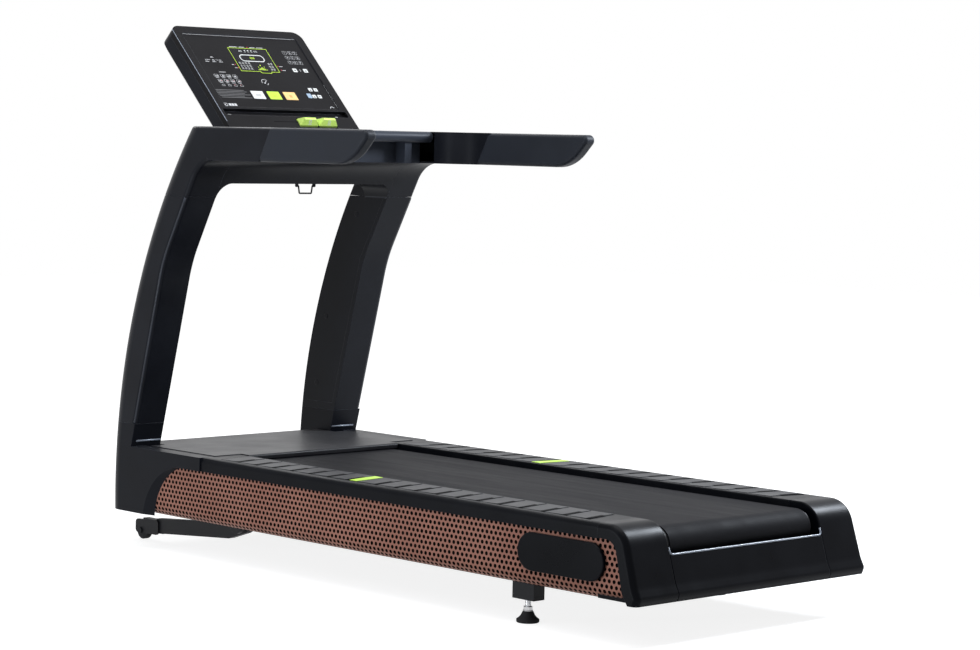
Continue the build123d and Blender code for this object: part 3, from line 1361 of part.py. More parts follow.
# ------------------------------------------------------------------ crossbar and steel frame inside the covers
with BuildPart() as crossbar_cover:
    with BuildSketch(Plane.XZ.offset(-400)):
        with BuildLine():
            bar_half = column_inner - seam
            Polyline(
                (-bar_half, crossbar_bottom - crossbar_corner), (-bar_half, crossbar_top),
                (bar_half, crossbar_top), (bar_half, crossbar_bottom - crossbar_corner),
            )
            RadiusArc(
                (bar_half, crossbar_bottom - crossbar_corner),
                (bar_half - crossbar_corner, crossbar_bottom), -crossbar_corner,
            )
            Line((bar_half - crossbar_corner, crossbar_bottom), (-bar_half + crossbar_corner, crossbar_bottom))
            RadiusArc(
                (-bar_half + crossbar_corner, crossbar_bottom),
                (-bar_half, crossbar_bottom - crossbar_corner), -crossbar_corner,
            )
        make_face()
    extrude(amount=-600)
    with BuildSketch(Plane.YZ.offset(-400)):
        with BuildLine():
            shoulder = [
                (knee_y + upper_lean * (shoulder_seam_z - 60 - knee_z), shoulder_seam_z - 60),
                (column_shoulder_y, handrail_bottom), (column_shoulder_y - 80, handrail_bottom),
            ]
            FilletPolyline(*shoulder, radius=column_shoulder_radius)
            Polyline(
                shoulder[-1], (shoulder[-1][0], handrail_top), (crossbar_front_y, handrail_top),
                (crossbar_front_y, shoulder[0][1]), shoulder[0],
            )
        make_face()
    extrude(amount=800, mode=Mode.INTERSECT)
    with BuildSketch(Plane.YZ.offset(-bar_half + crossbar_wall)):
        with BuildLine():
            hollow_low = crossbar_bottom + crossbar_wall
            hollow_high = crossbar_top - crossbar_wall
            hollow_front = crossbar_front_y - crossbar_wall
            Polyline(
                (knee_y + upper_lean * (hollow_low - knee_z) + crossbar_wall + 1, hollow_low),
                (knee_y + upper_lean * (hollow_high - knee_z) + crossbar_wall + 1, hollow_high),
                (hollow_front, hollow_high), (hollow_front, hollow_low), close=True,
            )
        make_face()
    extrude(amount=2 * (bar_half - crossbar_wall), mode=Mode.SUBTRACT)
    with BuildSketch(Plane.YZ.offset(-bar_half)):
        with Locations((beam_y, beam_z)):
            Rectangle(beam_depth + 2 * tube_play, beam_height + 2 * tube_play)
    extrude(amount=2 * bar_half, mode=Mode.SUBTRACT)
    with BuildSketch(Plane.XY.offset(beam_z)):
        for side, tag in SIDES:
            with Locations((side * arm_tube_x, beam_y + beam_depth / 2)):
                Rectangle(arm_tube_width + 2 * tube_play, 2 * beam_depth)
    extrude(amount=crossbar_top - beam_z, mode=Mode.SUBTRACT)
    for side, tag in SIDES:
        ear_x = side * (ring_half + ring_wire + 1)
        with BuildSketch(Plane.YZ.offset(min(ear_x, ear_x + side * ring_ear))):
            with Locations((ring_y, crossbar_bottom - ring_axis)):
                Circle(ring_ear_radius)
            with Locations((ring_y, crossbar_bottom - ring_axis)):
                Rectangle(2 * ring_ear_radius, ring_axis - ring_ear_gap, align=(Align.CENTER, Align.MIN))
            with Locations((ring_y, crossbar_bottom - ring_axis)):
                Circle(ring_wire + running, mode=Mode.SUBTRACT)
        extrude(amount=ring_ear)
crossbar_cover.part.label = "crossbar_cover"
export_step(crossbar_cover.part, "parts/crossbar_cover.step")

with BuildPart() as mast_frame:
    mast_rear = [(y, z) for y, z, depth in mast_stations]
    mast_front = [(y + depth, z) for y, z, depth in reversed(mast_stations)]
    for side, tag in SIDES:
        with BuildSketch(Plane.YZ.offset(side * mast_inner if side > 0 else -mast_inner - mast_width)):
            with BuildLine():
                Polyline(*mast_rear, *mast_front, close=True)
            make_face()
        extrude(amount=mast_width)
        with BuildSketch(Plane.YZ.offset(side * (mast_inner + mast_width / 2) - mast_width / 2 + tube_wall)):
            with BuildLine():
                Polyline(
                    *[(y + tube_wall * 1.1, z) for y, z in mast_rear[:-1]],
                    *[(y - tube_wall * 1.1, z) for y, z in mast_front[1:]], close=True,
                )
            make_face()
        extrude(amount=mast_width - 2 * tube_wall, mode=Mode.SUBTRACT)
        with BuildSketch(Plane.XZ.offset(-grip_tube_y)):
            with Locations((side * grip_tube_x, grip_tube_z)):
                Rectangle(grip_tube_width, grip_tube_height)
        extrude(amount=-(mast_rear[-1][0] + 20 - grip_tube_y))
        with BuildSketch(Plane.YZ.offset(side * arm_tube_x - arm_tube_width / 2)):
            with BuildLine():
                Polyline(
                    (beam_y - arm_tube_rear, beam_z), (beam_y + arm_tube_front, beam_z),
                    face_point(console_length - 46.0, arm_tube_far), face_point(arm_tube_down, arm_tube_far),
                    face_point(arm_tube_down, arm_tube_near), face_point(console_length - 37.5, arm_tube_near),
                    close=True,
                )
            make_face()
        extrude(amount=arm_tube_width)
    with BuildSketch(Plane.YZ.offset(-mast_inner - 5)):
        with Locations((beam_y, beam_z)):
            Rectangle(beam_depth, beam_height)
    extrude(amount=2 * mast_inner + 10)
mast_frame.part.label = "mast_frame"
export_step(mast_frame.part, "parts/mast_frame.step")

# ------------------------------------------------------------------ dash and console
with BuildPart() as dash_tray:
    dash_half = neck_x - seam
    with BuildSketch(Plane.YZ.offset(-dash_half)):
        with BuildLine():
            rim_low = handrail_top - dash_rim
            Line((dash_rear_y + dash_rim / 2, handrail_top), (dash_front_y, handrail_top))
            Polyline(
                (dash_front_y, handrail_top), (dash_front_y, handrail_bottom - seam),
                (dash_recess_y, handrail_bottom - seam), (dash_recess_y, rim_low),
                (dash_rear_y + dash_rim / 2, rim_low),
            )
            RadiusArc(
                (dash_rear_y + dash_rim / 2, rim_low), (dash_rear_y + dash_rim / 2, handrail_top),
                dash_rim / 2,
            )
        make_face()
    extrude(amount=2 * dash_half)
    with BuildSketch(Plane.YZ.offset(-dash_half + dash_wall)):
        with BuildLine():
            Polyline(
                (dash_recess_y + dash_wall, handrail_bottom - 2), (dash_recess_y + dash_wall, handrail_top - dash_wall),
                (dash_front_y - dash_wall, handrail_top - dash_wall), (dash_front_y - dash_wall, handrail_bottom - 2),
                close=True,
            )
        make_face()
    extrude(amount=2 * (dash_half - dash_wall), mode=Mode.SUBTRACT)
    for side, tag in SIDES:
        with BuildSketch(Plane.XY.offset(handrail_top - well_depth - dash_wall)):
            with Locations((side * well_x, well_y)):
                Circle(well_radius + dash_wall)
        extrude(amount=well_depth + dash_wall)
        with BuildSketch(Plane.XY.offset(handrail_top - well_depth)):
            with Locations((side * well_x, well_y)):
                Circle(well_radius)
        extrude(amount=well_depth, mode=Mode.SUBTRACT)
        with BuildSketch(Plane.XY.offset(handrail_bottom - seam)):
            with Locations((side * rib_x_dash, dash_recess_y)):
                Rectangle(rib_width, dash_recess_y - dash_rear_y - dash_rim / 2, align=(Align.CENTER, Align.MAX))
        extrude(amount=rim_low - handrail_bottom + seam)
    with BuildSketch(face_plane(0)):
        Rectangle(2 * (console_half + seam), console_length + seam, align=(Align.CENTER, Align.MAX))
    extrude(amount=-console_thickness - seam, mode=Mode.SUBTRACT)
dash_tray.part.label = "dash_tray"
export_step(dash_tray.part, "parts/dash_tray.step")

with BuildPart() as console_housing:
    with BuildSketch(face_plane(face_thickness)):
        with Locations((0, -console_length / 2)):
            Rectangle(2 * console_half, console_length)
    extrude(amount=-(console_thickness - face_thickness))
    corner_edges = console_housing.edges().filter_by(
        lambda e: e.length < console_thickness and e.center().Z > console_top - 100
    )
    fillet(corner_edges, radius=console_corner)
    back_plane = face_plane(console_thickness)
    back_rim = console_housing.edges().filter_by(
        lambda e: abs(back_plane.to_local_coords(e.center()).Z) < 0.1
        and back_plane.to_local_coords(e.center()).Y > -console_length + 5
    )
    chamfer(back_rim, length=console_back_chamfer)
    with BuildSketch(face_plane(face_thickness)):
        with Locations((0, -console_length / 2)):
            RectangleRounded(
                2 * (console_half - console_back_chamfer), console_length - 2 * console_back_chamfer, 20
            )
    extrude(amount=-(console_thickness - face_thickness - console_wall), mode=Mode.SUBTRACT)
    for side, tag in SIDES:
        with BuildSketch(Plane.YZ.offset(side * arm_tube_x - arm_tube_width / 2 - 2)):
            with BuildLine():
                Polyline(
                    face_point(console_length + 88, console_thickness + 8),
                    face_point(console_length + 60, console_thickness + 36),
                    face_point(console_length - 74, console_thickness + 15),
                    face_point(console_length - 39, face_thickness - 7), close=True,
                )
            make_face()
        extrude(amount=arm_tube_width + 4, mode=Mode.SUBTRACT)
console_housing.part.label = "console_housing"
export_step(console_housing.part, "parts/console_housing.step")

key_base = overlay_depth - key_proud + key_thickness + key_travel + 0.5
with BuildPart() as console_face:
    with BuildSketch(face_plane(0)):
        with Locations((0, -console_length / 2)):
            Rectangle(2 * console_half, console_length)
    extrude(amount=-face_thickness)
    corner_edges = console_face.edges().filter_by(
        lambda e: e.length < console_thickness and e.center().Z > console_top - 100
    )
    fillet(corner_edges, radius=console_corner)
    with BuildSketch(face_plane(0)):
        with Locations((0, -(overlay_top + overlay_bottom) / 2)):
            RectangleRounded(2 * overlay_half, overlay_bottom - overlay_top, 6)
    extrude(amount=-overlay_depth, mode=Mode.SUBTRACT)
    with BuildSketch(face_plane(0)):
        with Locations((0, -rack_top - rack_width / 2)):
            RectangleRounded(2 * rack_half, rack_width, 6)
    extrude(amount=-rack_depth, mode=Mode.SUBTRACT)
    with BuildSketch(face_plane(overlay_depth)):
        with Locations((0, -lens_down)):
            Rectangle(lens_size[0] + 0.4, lens_size[1] + 0.4)
    extrude(amount=-lens_thickness + 0.5, mode=Mode.SUBTRACT)
    with BuildSketch(face_plane(overlay_depth)):
        for column_index in (-1, 0, 1):
            with Locations((key_shift + column_index * key_pitch, -key_down)):
                Rectangle(key_size[0] + 2 * key_gap, key_size[1] + 2 * key_gap)
        for across in (-1, 1):
            for up in (-1, 1):
                with Locations((nav_x + across * nav_pitch[0] / 2, -nav_down + up * nav_pitch[1] / 2)):
                    Rectangle(nav_size[0] + 2 * key_gap, nav_size[1] + 2 * key_gap)
        with Locations((select_x, -select_down)):
            Rectangle(select_size[0] + 2 * key_gap, select_size[1] + 2 * key_gap)
    extrude(amount=-(key_base - overlay_depth), mode=Mode.SUBTRACT)
    with BuildSketch(face_plane(0)):
        for across in (-1, 1):
            with Locations((paddle_x + across * paddle_pitch / 2, -paddle_down)):
                Rectangle(paddle_width + 2 * paddle_gap, paddle_height + 2 * paddle_gap)
    extrude(amount=-paddle_pocket, mode=Mode.SUBTRACT)
    paddles_half = paddle_pitch / 2 + paddle_width / 2 + paddle_pin_length + running
    with BuildSketch(Plane.YZ.offset(paddle_x - paddles_half)):
        hinge = face_origin - face_up * paddle_down - face_out * (paddle_pocket / 2)
        with Locations((hinge.Y, hinge.Z)):
            Circle(paddle_pin_radius + running)
    extrude(amount=2 * paddles_half, mode=Mode.SUBTRACT)
    with BuildSketch(face_plane(face_thickness)):
        pocket_top = overlay_top + 10
        pocket_bottom = rack_top - 12
        with Locations((0, -(pocket_top + pocket_bottom) / 2)):
            Rectangle(2 * overlay_half - 10, pocket_bottom - pocket_top)
    extrude(amount=face_thickness - key_base - 3, mode=Mode.SUBTRACT)
console_face.part.label = "console_face"
export_step(console_face.part, "parts/console_face.step")

with BuildPart() as display_lens:
    with BuildSketch(face_plane(overlay_depth - 0.5)):
        with Locations((0, -lens_down)):
            Rectangle(*lens_size)
    extrude(amount=-lens_thickness)
display_lens.part.label = "display_lens"
export_step(display_lens.part, "parts/display_lens.step")

key_depth = overlay_depth - key_proud
for column_index, name in ((-1, "key_white"), (0, "key_lime"), (1, "key_amber")):
    with BuildPart() as key:
        with BuildSketch(face_plane(key_depth)):
            with Locations((key_shift + column_index * key_pitch, -key_down)):
                RectangleRounded(*key_size, 2)
        extrude(amount=-key_thickness)
    key.part.label = name
    export_step(key.part, f"parts/{name}.step")

nav_places = [(across, up) for up in (1, -1) for across in (-1, 1)]
for number, (across, up) in enumerate(nav_places, start=1):
    with BuildPart() as nav_key:
        with BuildSketch(face_plane(key_depth)):
            with Locations((nav_x + across * nav_pitch[0] / 2, -nav_down + up * nav_pitch[1] / 2)):
                RectangleRounded(*nav_size, 2)
        extrude(amount=-key_thickness)
    nav_key.part.label = f"nav_key_{number}"
    export_step(nav_key.part, f"parts/nav_key_{number}.step")

with BuildPart() as select_key:
    with BuildSketch(face_plane(key_depth)):
        with Locations((select_x, -select_down)):
            RectangleRounded(*select_size, 2)
    extrude(amount=-key_thickness)
select_key.part.label = "select_key"
export_step(select_key.part, "parts/select_key.step")

# ------------------------------------------------------------------ control paddles and tether ring
for side, tag in SIDES:
    with BuildPart() as paddle:
        centre_x = paddle_x + side * paddle_pitch / 2
        half_foot = paddle_height / 2 - 3
        with BuildSketch(Plane.YZ.offset(centre_x - paddle_width / 2)):
            with BuildLine():
                corners = [
                    (half_foot, -paddle_pocket / 2 + 1), (-half_foot, -paddle_pocket / 2 + 1),
                    (-half_foot, 4), (-4, paddle_proud), (4, paddle_proud), (half_foot, 4),
                ]
                outline = [hinge + face_up * up + face_out * (out + paddle_pocket / 2 - 2) for up, out in corners]
                Polyline(*[(p.Y, p.Z) for p in outline], close=True)
            make_face()
        extrude(amount=paddle_width)
        ends_plane = Plane(
            origin=face_origin - face_up * (paddle_down - paddle_height) + Vector(centre_x, 0, 0),
            x_dir=(1, 0, 0), z_dir=-face_up,
        )
        with BuildSketch(ends_plane):
            with BuildLine():
                half = paddle_width / 2
                Polyline(
                    (-half, -paddle_pocket), (half, -paddle_pocket), (half, 2),
                    (half - paddle_slope, paddle_proud), (-half + paddle_slope, paddle_proud),
                    (-half, 2), close=True,
                )
            make_face()
        extrude(amount=2 * paddle_height, mode=Mode.INTERSECT)
        with BuildSketch(Plane.YZ.offset(centre_x - paddle_width / 2 - paddle_pin_length)):
            with Locations((hinge.Y, hinge.Z)):
                Circle(paddle_pin_radius)
        extrude(amount=paddle_width + 2 * paddle_pin_length)
        edges = paddle.edges().filter_by(Axis.X).filter_by(lambda e: e.length > 20).sort_by(
            lambda e: (e.center() - face_origin).dot(face_out)
        )
        fillet(edges[-2:], radius=3)
    paddle.part.label = f"paddle_{tag}"
    export_step(paddle.part, f"parts/paddle_{tag}.step")

with BuildPart() as tether_ring:
    ring_top = crossbar_bottom - ring_axis
    ring_reach = ring_half + ring_wire + 1 + ring_ear - 1
    with BuildLine() as ring_line:
        FilletPolyline(
            (-ring_reach, ring_y, ring_top), (-ring_half, ring_y, ring_top),
            (-ring_half + 4, ring_y, ring_top - ring_drop),
            (ring_half - 4, ring_y, ring_top - ring_drop), (ring_half, ring_y, ring_top),
            (ring_reach, ring_y, ring_top),
            radius=3.2,
        )
    with BuildSketch(Plane(origin=ring_line.line @ 0, z_dir=ring_line.line % 0)):
        Circle(ring_wire)
    sweep()
tether_ring.part.label = "tether_ring"
export_step(tether_ring.part, "parts/tether_ring.step")
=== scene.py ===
"""Looks of the treadmill: camera, studio, materials and the pieces that give each surface its detail.

Metres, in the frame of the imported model: +Y the running direction, +X the runner's right, +Z up.
"""
from math import cos, pi, radians, sin

import bmesh
import bpy
from mathutils import Matrix, Vector


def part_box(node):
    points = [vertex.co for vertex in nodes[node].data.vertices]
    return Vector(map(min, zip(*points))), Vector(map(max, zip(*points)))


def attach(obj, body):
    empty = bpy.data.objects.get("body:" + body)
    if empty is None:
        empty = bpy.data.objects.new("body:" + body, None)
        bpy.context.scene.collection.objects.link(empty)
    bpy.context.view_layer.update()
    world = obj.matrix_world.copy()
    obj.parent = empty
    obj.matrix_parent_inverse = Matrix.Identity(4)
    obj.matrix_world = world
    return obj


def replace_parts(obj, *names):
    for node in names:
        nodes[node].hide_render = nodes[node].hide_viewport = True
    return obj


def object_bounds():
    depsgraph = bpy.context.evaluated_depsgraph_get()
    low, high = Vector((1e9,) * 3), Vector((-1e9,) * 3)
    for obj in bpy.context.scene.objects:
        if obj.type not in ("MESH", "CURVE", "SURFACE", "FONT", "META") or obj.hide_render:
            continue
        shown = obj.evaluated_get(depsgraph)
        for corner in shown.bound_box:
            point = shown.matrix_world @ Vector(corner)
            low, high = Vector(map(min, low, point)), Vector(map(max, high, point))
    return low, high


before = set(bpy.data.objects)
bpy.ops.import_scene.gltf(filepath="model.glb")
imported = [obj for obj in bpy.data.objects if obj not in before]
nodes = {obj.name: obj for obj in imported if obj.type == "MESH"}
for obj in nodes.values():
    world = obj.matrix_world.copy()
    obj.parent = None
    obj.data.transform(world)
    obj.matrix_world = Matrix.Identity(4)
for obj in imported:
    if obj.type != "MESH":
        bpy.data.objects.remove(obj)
cad_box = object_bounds()
SIDES = ((-1, "left"), (1, "right"))
MM = 0.001


def placed(name, data):
    """A new object of the scene that holds the data."""
    obj = bpy.data.objects.new(name, data)
    bpy.context.scene.collection.objects.link(obj)
    return obj


# ----- camera
CAMERA_PLACE = (-5.3957, -5.71745, 1.27501)
YAW = radians(43.926)  # line of sight, from +Y towards +X
PITCH = radians(3.915)  # line of sight, downwards
ROLL = radians(1.296)
SENSOR_WIDTH = 36  # mm
FOCAL_LENGTH = 99.37  # mm
FARTHEST_SEEN = 100


def make_camera():
    """The photograph's view: from the rear left, a little below head height, with a long lens."""
    forward = Vector((sin(YAW) * cos(PITCH), cos(YAW) * cos(PITCH), -sin(PITCH)))
    level = Vector((cos(YAW), -sin(YAW), 0))
    upward = level.cross(forward)
    right = level * cos(ROLL) + upward * sin(ROLL)
    up = upward * cos(ROLL) - level * sin(ROLL)
    data = bpy.data.cameras.new("camera")
    data.sensor_width = SENSOR_WIDTH
    data.lens = FOCAL_LENGTH
    data.clip_end = FARTHEST_SEEN
    camera = placed("camera", data)
    axes = Matrix((right, up, -forward)).transposed().to_4x4()
    camera.matrix_world = Matrix.Translation(CAMERA_PLACE) @ axes
    bpy.context.scene.camera = camera


# ----- node helpers
BEVEL_SAMPLES = 6
TOP_LIGHT_AND_DUST_FROM, TOP_LIGHT_AND_DUST_FULL = 0.65, 0.98  # upward part of a normal, for dust and painted top light: at a slope of 50 degrees, nearly level
EDGE_FULL, EDGE_FROM = 0.80, 0.995  # product of the rounded and the true normal: on an edge, off it


class Tree:
    """The nodes of a material or a world, with short ways to add and link them."""

    def __init__(self, owner):
        owner.use_nodes = True
        self.tree = owner.node_tree

    def add(self, kind, **values):
        """A node of that kind, with settings or unlinked input values."""
        node = self.tree.nodes.new(kind)
        for key, value in values.items():
            if hasattr(node, key):
                setattr(node, key, value)
            else:
                node.inputs[key.replace("_", " ")].default_value = value
        return node

    def link(self, source, target):
        self.tree.links.new(source, target)

    def spread(self, value, low, high, start=0.3, end=0.7):
        """value from start..end, by default the span of noise, taken to low..high."""
        node = self.add("ShaderNodeMapRange")
        for name, number in (("From Min", start), ("From Max", end), ("To Min", low), ("To Max", high)):
            node.inputs[name].default_value = number
        self.link(value, node.inputs["Value"])
        return node.outputs["Result"]

    def math(self, operation, first, second=0.0):
        """Math node of two values; each is a number or a socket."""
        node = self.add("ShaderNodeMath", operation=operation)
        for index, value in enumerate((first, second)):
            if isinstance(value, (int, float)):
                node.inputs[index].default_value = value
            else:
                self.link(value, node.inputs[index])
        return node.outputs["Value"]


class Graph(Tree):
    """A material's nodes, ending in its one shader."""

    def __init__(self, name):
        self.material = bpy.data.materials.new(name)
        super().__init__(self.material)
        self.shader = self.tree.nodes["Principled BSDF"]
        self.object = self.add("ShaderNodeTexCoord").outputs["Object"]

    def noise(self, scale, detail=3.0, stretch=(1, 1, 1)):
        """Noise of that scale, per metre, on the object's own coordinates."""
        mapping = self.add("ShaderNodeMapping")
        mapping.inputs["Scale"].default_value = stretch
        self.link(self.object, mapping.inputs["Vector"])
        node = self.add("ShaderNodeTexNoise", Scale=scale, Detail=detail)
        self.link(mapping.outputs["Vector"], node.inputs["Vector"])
        return node.outputs["Fac"]

    def mix(self, factor, first, second):
        """Mix of two colours by a factor; each colour is a tuple or a socket."""
        node = self.add("ShaderNodeMix", data_type="RGBA")
        self.link(factor, node.inputs["Factor"])
        for name, colour in (("A", first), ("B", second)):
            socket = next(s for s in node.inputs if s.name == name and s.type == "RGBA")
            if isinstance(colour, tuple):
                socket.default_value = (*colour, 1)
            else:
                self.link(colour, socket)
        return next(s for s in node.outputs if s.type == "RGBA")

    def bump(self, height, strength, distance, rounding=0.0):
        """Bump from a height; rounding softens the mesh's sharp edges by that radius."""
        node = self.add("ShaderNodeBump", Strength=strength, Distance=distance)
        self.link(height, node.inputs["Height"])
        if rounding:
            soft = self.add("ShaderNodeBevel", samples=BEVEL_SAMPLES, Radius=rounding)
            self.link(soft.outputs["Normal"], node.inputs["Normal"])
        self.link(node.outputs["Normal"], self.shader.inputs["Normal"])

    def facing_up(self):
        """1 where the surface faces up, falling to 0 at a slope of about 50 degrees."""
        split = self.add("ShaderNodeSeparateXYZ")
        self.link(self.add("ShaderNodeNewGeometry").outputs["Normal"], split.inputs["Vector"])
        return self.spread(split.outputs["Z"], 0.0, 1.0, TOP_LIGHT_AND_DUST_FROM, TOP_LIGHT_AND_DUST_FULL)

    def edge(self, radius):
        """1 on sharp edges of the mesh and 0 on its flats."""
        soft = self.add("ShaderNodeBevel", samples=BEVEL_SAMPLES, Radius=radius)
        dot = self.add("ShaderNodeVectorMath", operation="DOT_PRODUCT")
        self.link(soft.outputs["Normal"], dot.inputs[0])
        self.link(self.add("ShaderNodeNewGeometry").outputs["True Normal"], dot.inputs[1])
        return self.spread(dot.outputs["Value"], 1.0, 0.0, EDGE_FULL, EDGE_FROM)

    def coat(self, colour, roughness, specular=0.5, metallic=0.0):
        """The shader's main inputs: colour and roughness from sockets, the others as numbers."""
        self.link(colour, self.shader.inputs["Base Color"])
        self.link(roughness, self.shader.inputs["Roughness"])
        self.shader.inputs["Specular IOR Level"].default_value = specular
        self.shader.inputs["Metallic"].default_value = metallic


# ----- materials
EDGE_WEAR_AND_HIGHLIGHT = (0.060, 0.066, 0.085)  # colour of the covers' rubbed edges, also a painted highlight along them
# colour of dust on upward faces, and of painted top light there
DUST_AND_TOP_LIGHT = (0.13, 0.13, 0.135)
COVER_ROUNDING = 1.6 * MM
STEEL_ROUNDING = 1.2 * MM
WEAVE = (("X", 1.6 * MM), ("Y", 1.1 * MM))  # pitches of the belt's threads


def shade(colour, factor, added=0.0):
    """A lighter or darker colour."""
    return tuple(c * factor + added for c in colour)


def moulded_plastic(name, colour, roughness=0.42, grain=0.12, specular=0.10, dust_and_top_light=0.22):
    """Injection-moulded plastic: fine spark-eroded grain, rubbed edges that also carry a painted highlight,
    and dust with painted top light where it faces up.
    """
    g = Graph(name)
    smear = g.noise(7, 4)
    base = g.mix(g.spread(smear, 0.0, 0.25), colour, shade(colour, 2.2, 0.004))
    # edges lightened: rubbed wear and a painted highlight
    base = g.mix(g.math("MULTIPLY", g.edge(COVER_ROUNDING), 0.6), base, EDGE_WEAR_AND_HIGHLIGHT)
    # upward faces lightened: dust and painted top light
    dust_and_top_light_mask = g.math("MULTIPLY", g.facing_up(), g.spread(g.noise(11, 5), 0.6 * dust_and_top_light, dust_and_top_light))
    g.coat(g.mix(dust_and_top_light_mask, base, DUST_AND_TOP_LIGHT), g.spread(smear, roughness - 0.04, roughness + 0.06), specular)
    g.bump(g.noise(1600, 2), grain, 0.15 * MM, COVER_ROUNDING)
    return g.material


def soft_sleeve(name, colour):
    """Soft-touch moulded sleeve, a little more matt and blue than the covers, in faint patches."""
    g = Graph(name)
    patches = g.noise(9, 5)
    base = g.mix(g.spread(patches, 0, 0.3), colour, shade(colour, 1.6))
    g.coat(base, g.spread(patches, 0.46, 0.56), specular=0.16)
    g.bump(g.noise(2300, 2), 0.15, 0.12 * MM, 1.5 * MM)
    return g.material


def woven_belt(name):
    """Running belt: black cover with a fine crosswise weave, dusty in broad streaks along the run."""
    g = Graph(name)
    split = g.add("ShaderNodeSeparateXYZ")
    g.link(g.object, split.inputs["Vector"])
    threads = [
        g.math("SINE", g.math("MULTIPLY", split.outputs[axis], 2 * pi / pitch)) for axis, pitch in WEAVE
    ]
    weave = g.math("MULTIPLY", *threads)
    streaks = g.noise(5, 4, (6, 0.6, 1))
    fleck = g.noise(900, 2)
    base = g.mix(g.spread(streaks, 0.0, 0.6), (0.0085, 0.0086, 0.0102), (0.0125, 0.0125, 0.0140))
    flecked = g.mix(g.spread(fleck, 0.0, 0.5, 0.55, 0.75), base, (0.034, 0.034, 0.037))
    g.coat(flecked, g.spread(streaks, 0.50, 0.62), specular=0.03)
    g.bump(g.math("ADD", weave, g.math("MULTIPLY", fleck, 2)), 0.35, 0.12 * MM)
    return g.material


def copper_sheet(name):
    """Painted sheet with a metallic copper-brown coat, slightly uneven."""
    g = Graph(name)
    flake = g.noise(2600, 1)
    base = g.mix(g.spread(g.noise(6, 4), 0.0, 1.0), (0.285, 0.122, 0.086), (0.345, 0.156, 0.112))
    flaked = g.mix(g.spread(flake, 0.0, 0.35, 0.5, 0.75), base, (0.40, 0.22, 0.17))
    g.coat(flaked, g.spread(flake, 0.38, 0.52), specular=0.15, metallic=0.12)
    g.bump(g.noise(1200, 2), 0.06, 0.1 * MM)
    return g.material


def coated_steel(name, colour, roughness=0.45):
    """Powder-coated steel with orange-peel texture and scuffed edges."""
    g = Graph(name)
    cloud = g.noise(14, 5)
    worn = shade(colour, 2.4, 0.008)
    base = g.mix(g.spread(cloud, 0.0, 0.3), colour, worn)
    scuffed = g.mix(g.math("MULTIPLY", g.edge(STEEL_ROUNDING), 0.5), base, worn)
    g.coat(scuffed, g.spread(cloud, roughness - 0.06, roughness + 0.1), specular=0.14)
    g.bump(g.noise(420, 3), 0.25, 0.25 * MM, STEEL_ROUNDING)
    return g.material


def bright_metal(name, colour, roughness, stretch=(1, 1, 1)):
    """Bare or plated metal with fine turning or drawing marks."""
    g = Graph(name)
    lines = g.noise(700, 2, stretch)
    base = g.mix(g.spread(lines, 0, 0.5), colour, shade(colour, 0.75))
    g.coat(base, g.spread(lines, roughness, roughness + 0.12), metallic=1.0)
    g.bump(lines, 0.05, 0.05 * MM, 0.8 * MM)
    return g.material


def solid_rubber(name, colour=(0.018, 0.018, 0.019), bloomed=(0.05, 0.05, 0.052), specular=0.15):
    """Black rubber, matt, with a chalky bloom in patches; its matt black also stands for painted shade."""
    g = Graph(name)
    bloom = g.noise(40, 5)
    g.coat(g.mix(g.spread(bloom, 0, 0.35), colour, bloomed), g.spread(bloom, 0.6, 0.8), specular)
    g.bump(g.noise(700, 3), 0.3, 0.2 * MM, 1.0 * MM)
    return g.material


def printed(name, colour, roughness=0.35):
    """Screen-printed ink or a moulded key in one hue, with slight unevenness of tone and gloss."""
    g = Graph(name)
    tone = g.noise(220, 3)
    base = g.mix(g.spread(tone, 0, 1), shade(colour, 0.84), colour)
    g.coat(base, g.spread(tone, roughness - 0.05, roughness + 0.08))
    g.bump(g.noise(2500, 1), 0.08, 0.08 * MM, 0.5 * MM)
    return g.material


def smoked_window(name):
    """Dark acrylic window over the display: nearly black, glossy, with faint wipe marks."""
    g = Graph(name)
    wipe = g.noise(60, 4, (1, 4, 1))
    base = g.mix(g.spread(wipe, 0, 1), (0.006, 0.006, 0.008), (0.012, 0.012, 0.014))
    g.coat(base, g.spread(wipe, 0.08, 0.2), specular=0.12)
    return g.material


def fibreboard(name):
    """Waxed fibreboard with short brown fibres."""
    g = Graph(name)
    fibres = g.noise(500, 4, (1, 0.25, 1))
    base = g.mix(g.spread(fibres, 0, 1), (0.016, 0.013, 0.011), (0.034, 0.027, 0.021))
    g.coat(base, g.spread(fibres, 0.3, 0.5))
    g.bump(fibres, 0.2, 0.1 * MM)
    return g.material


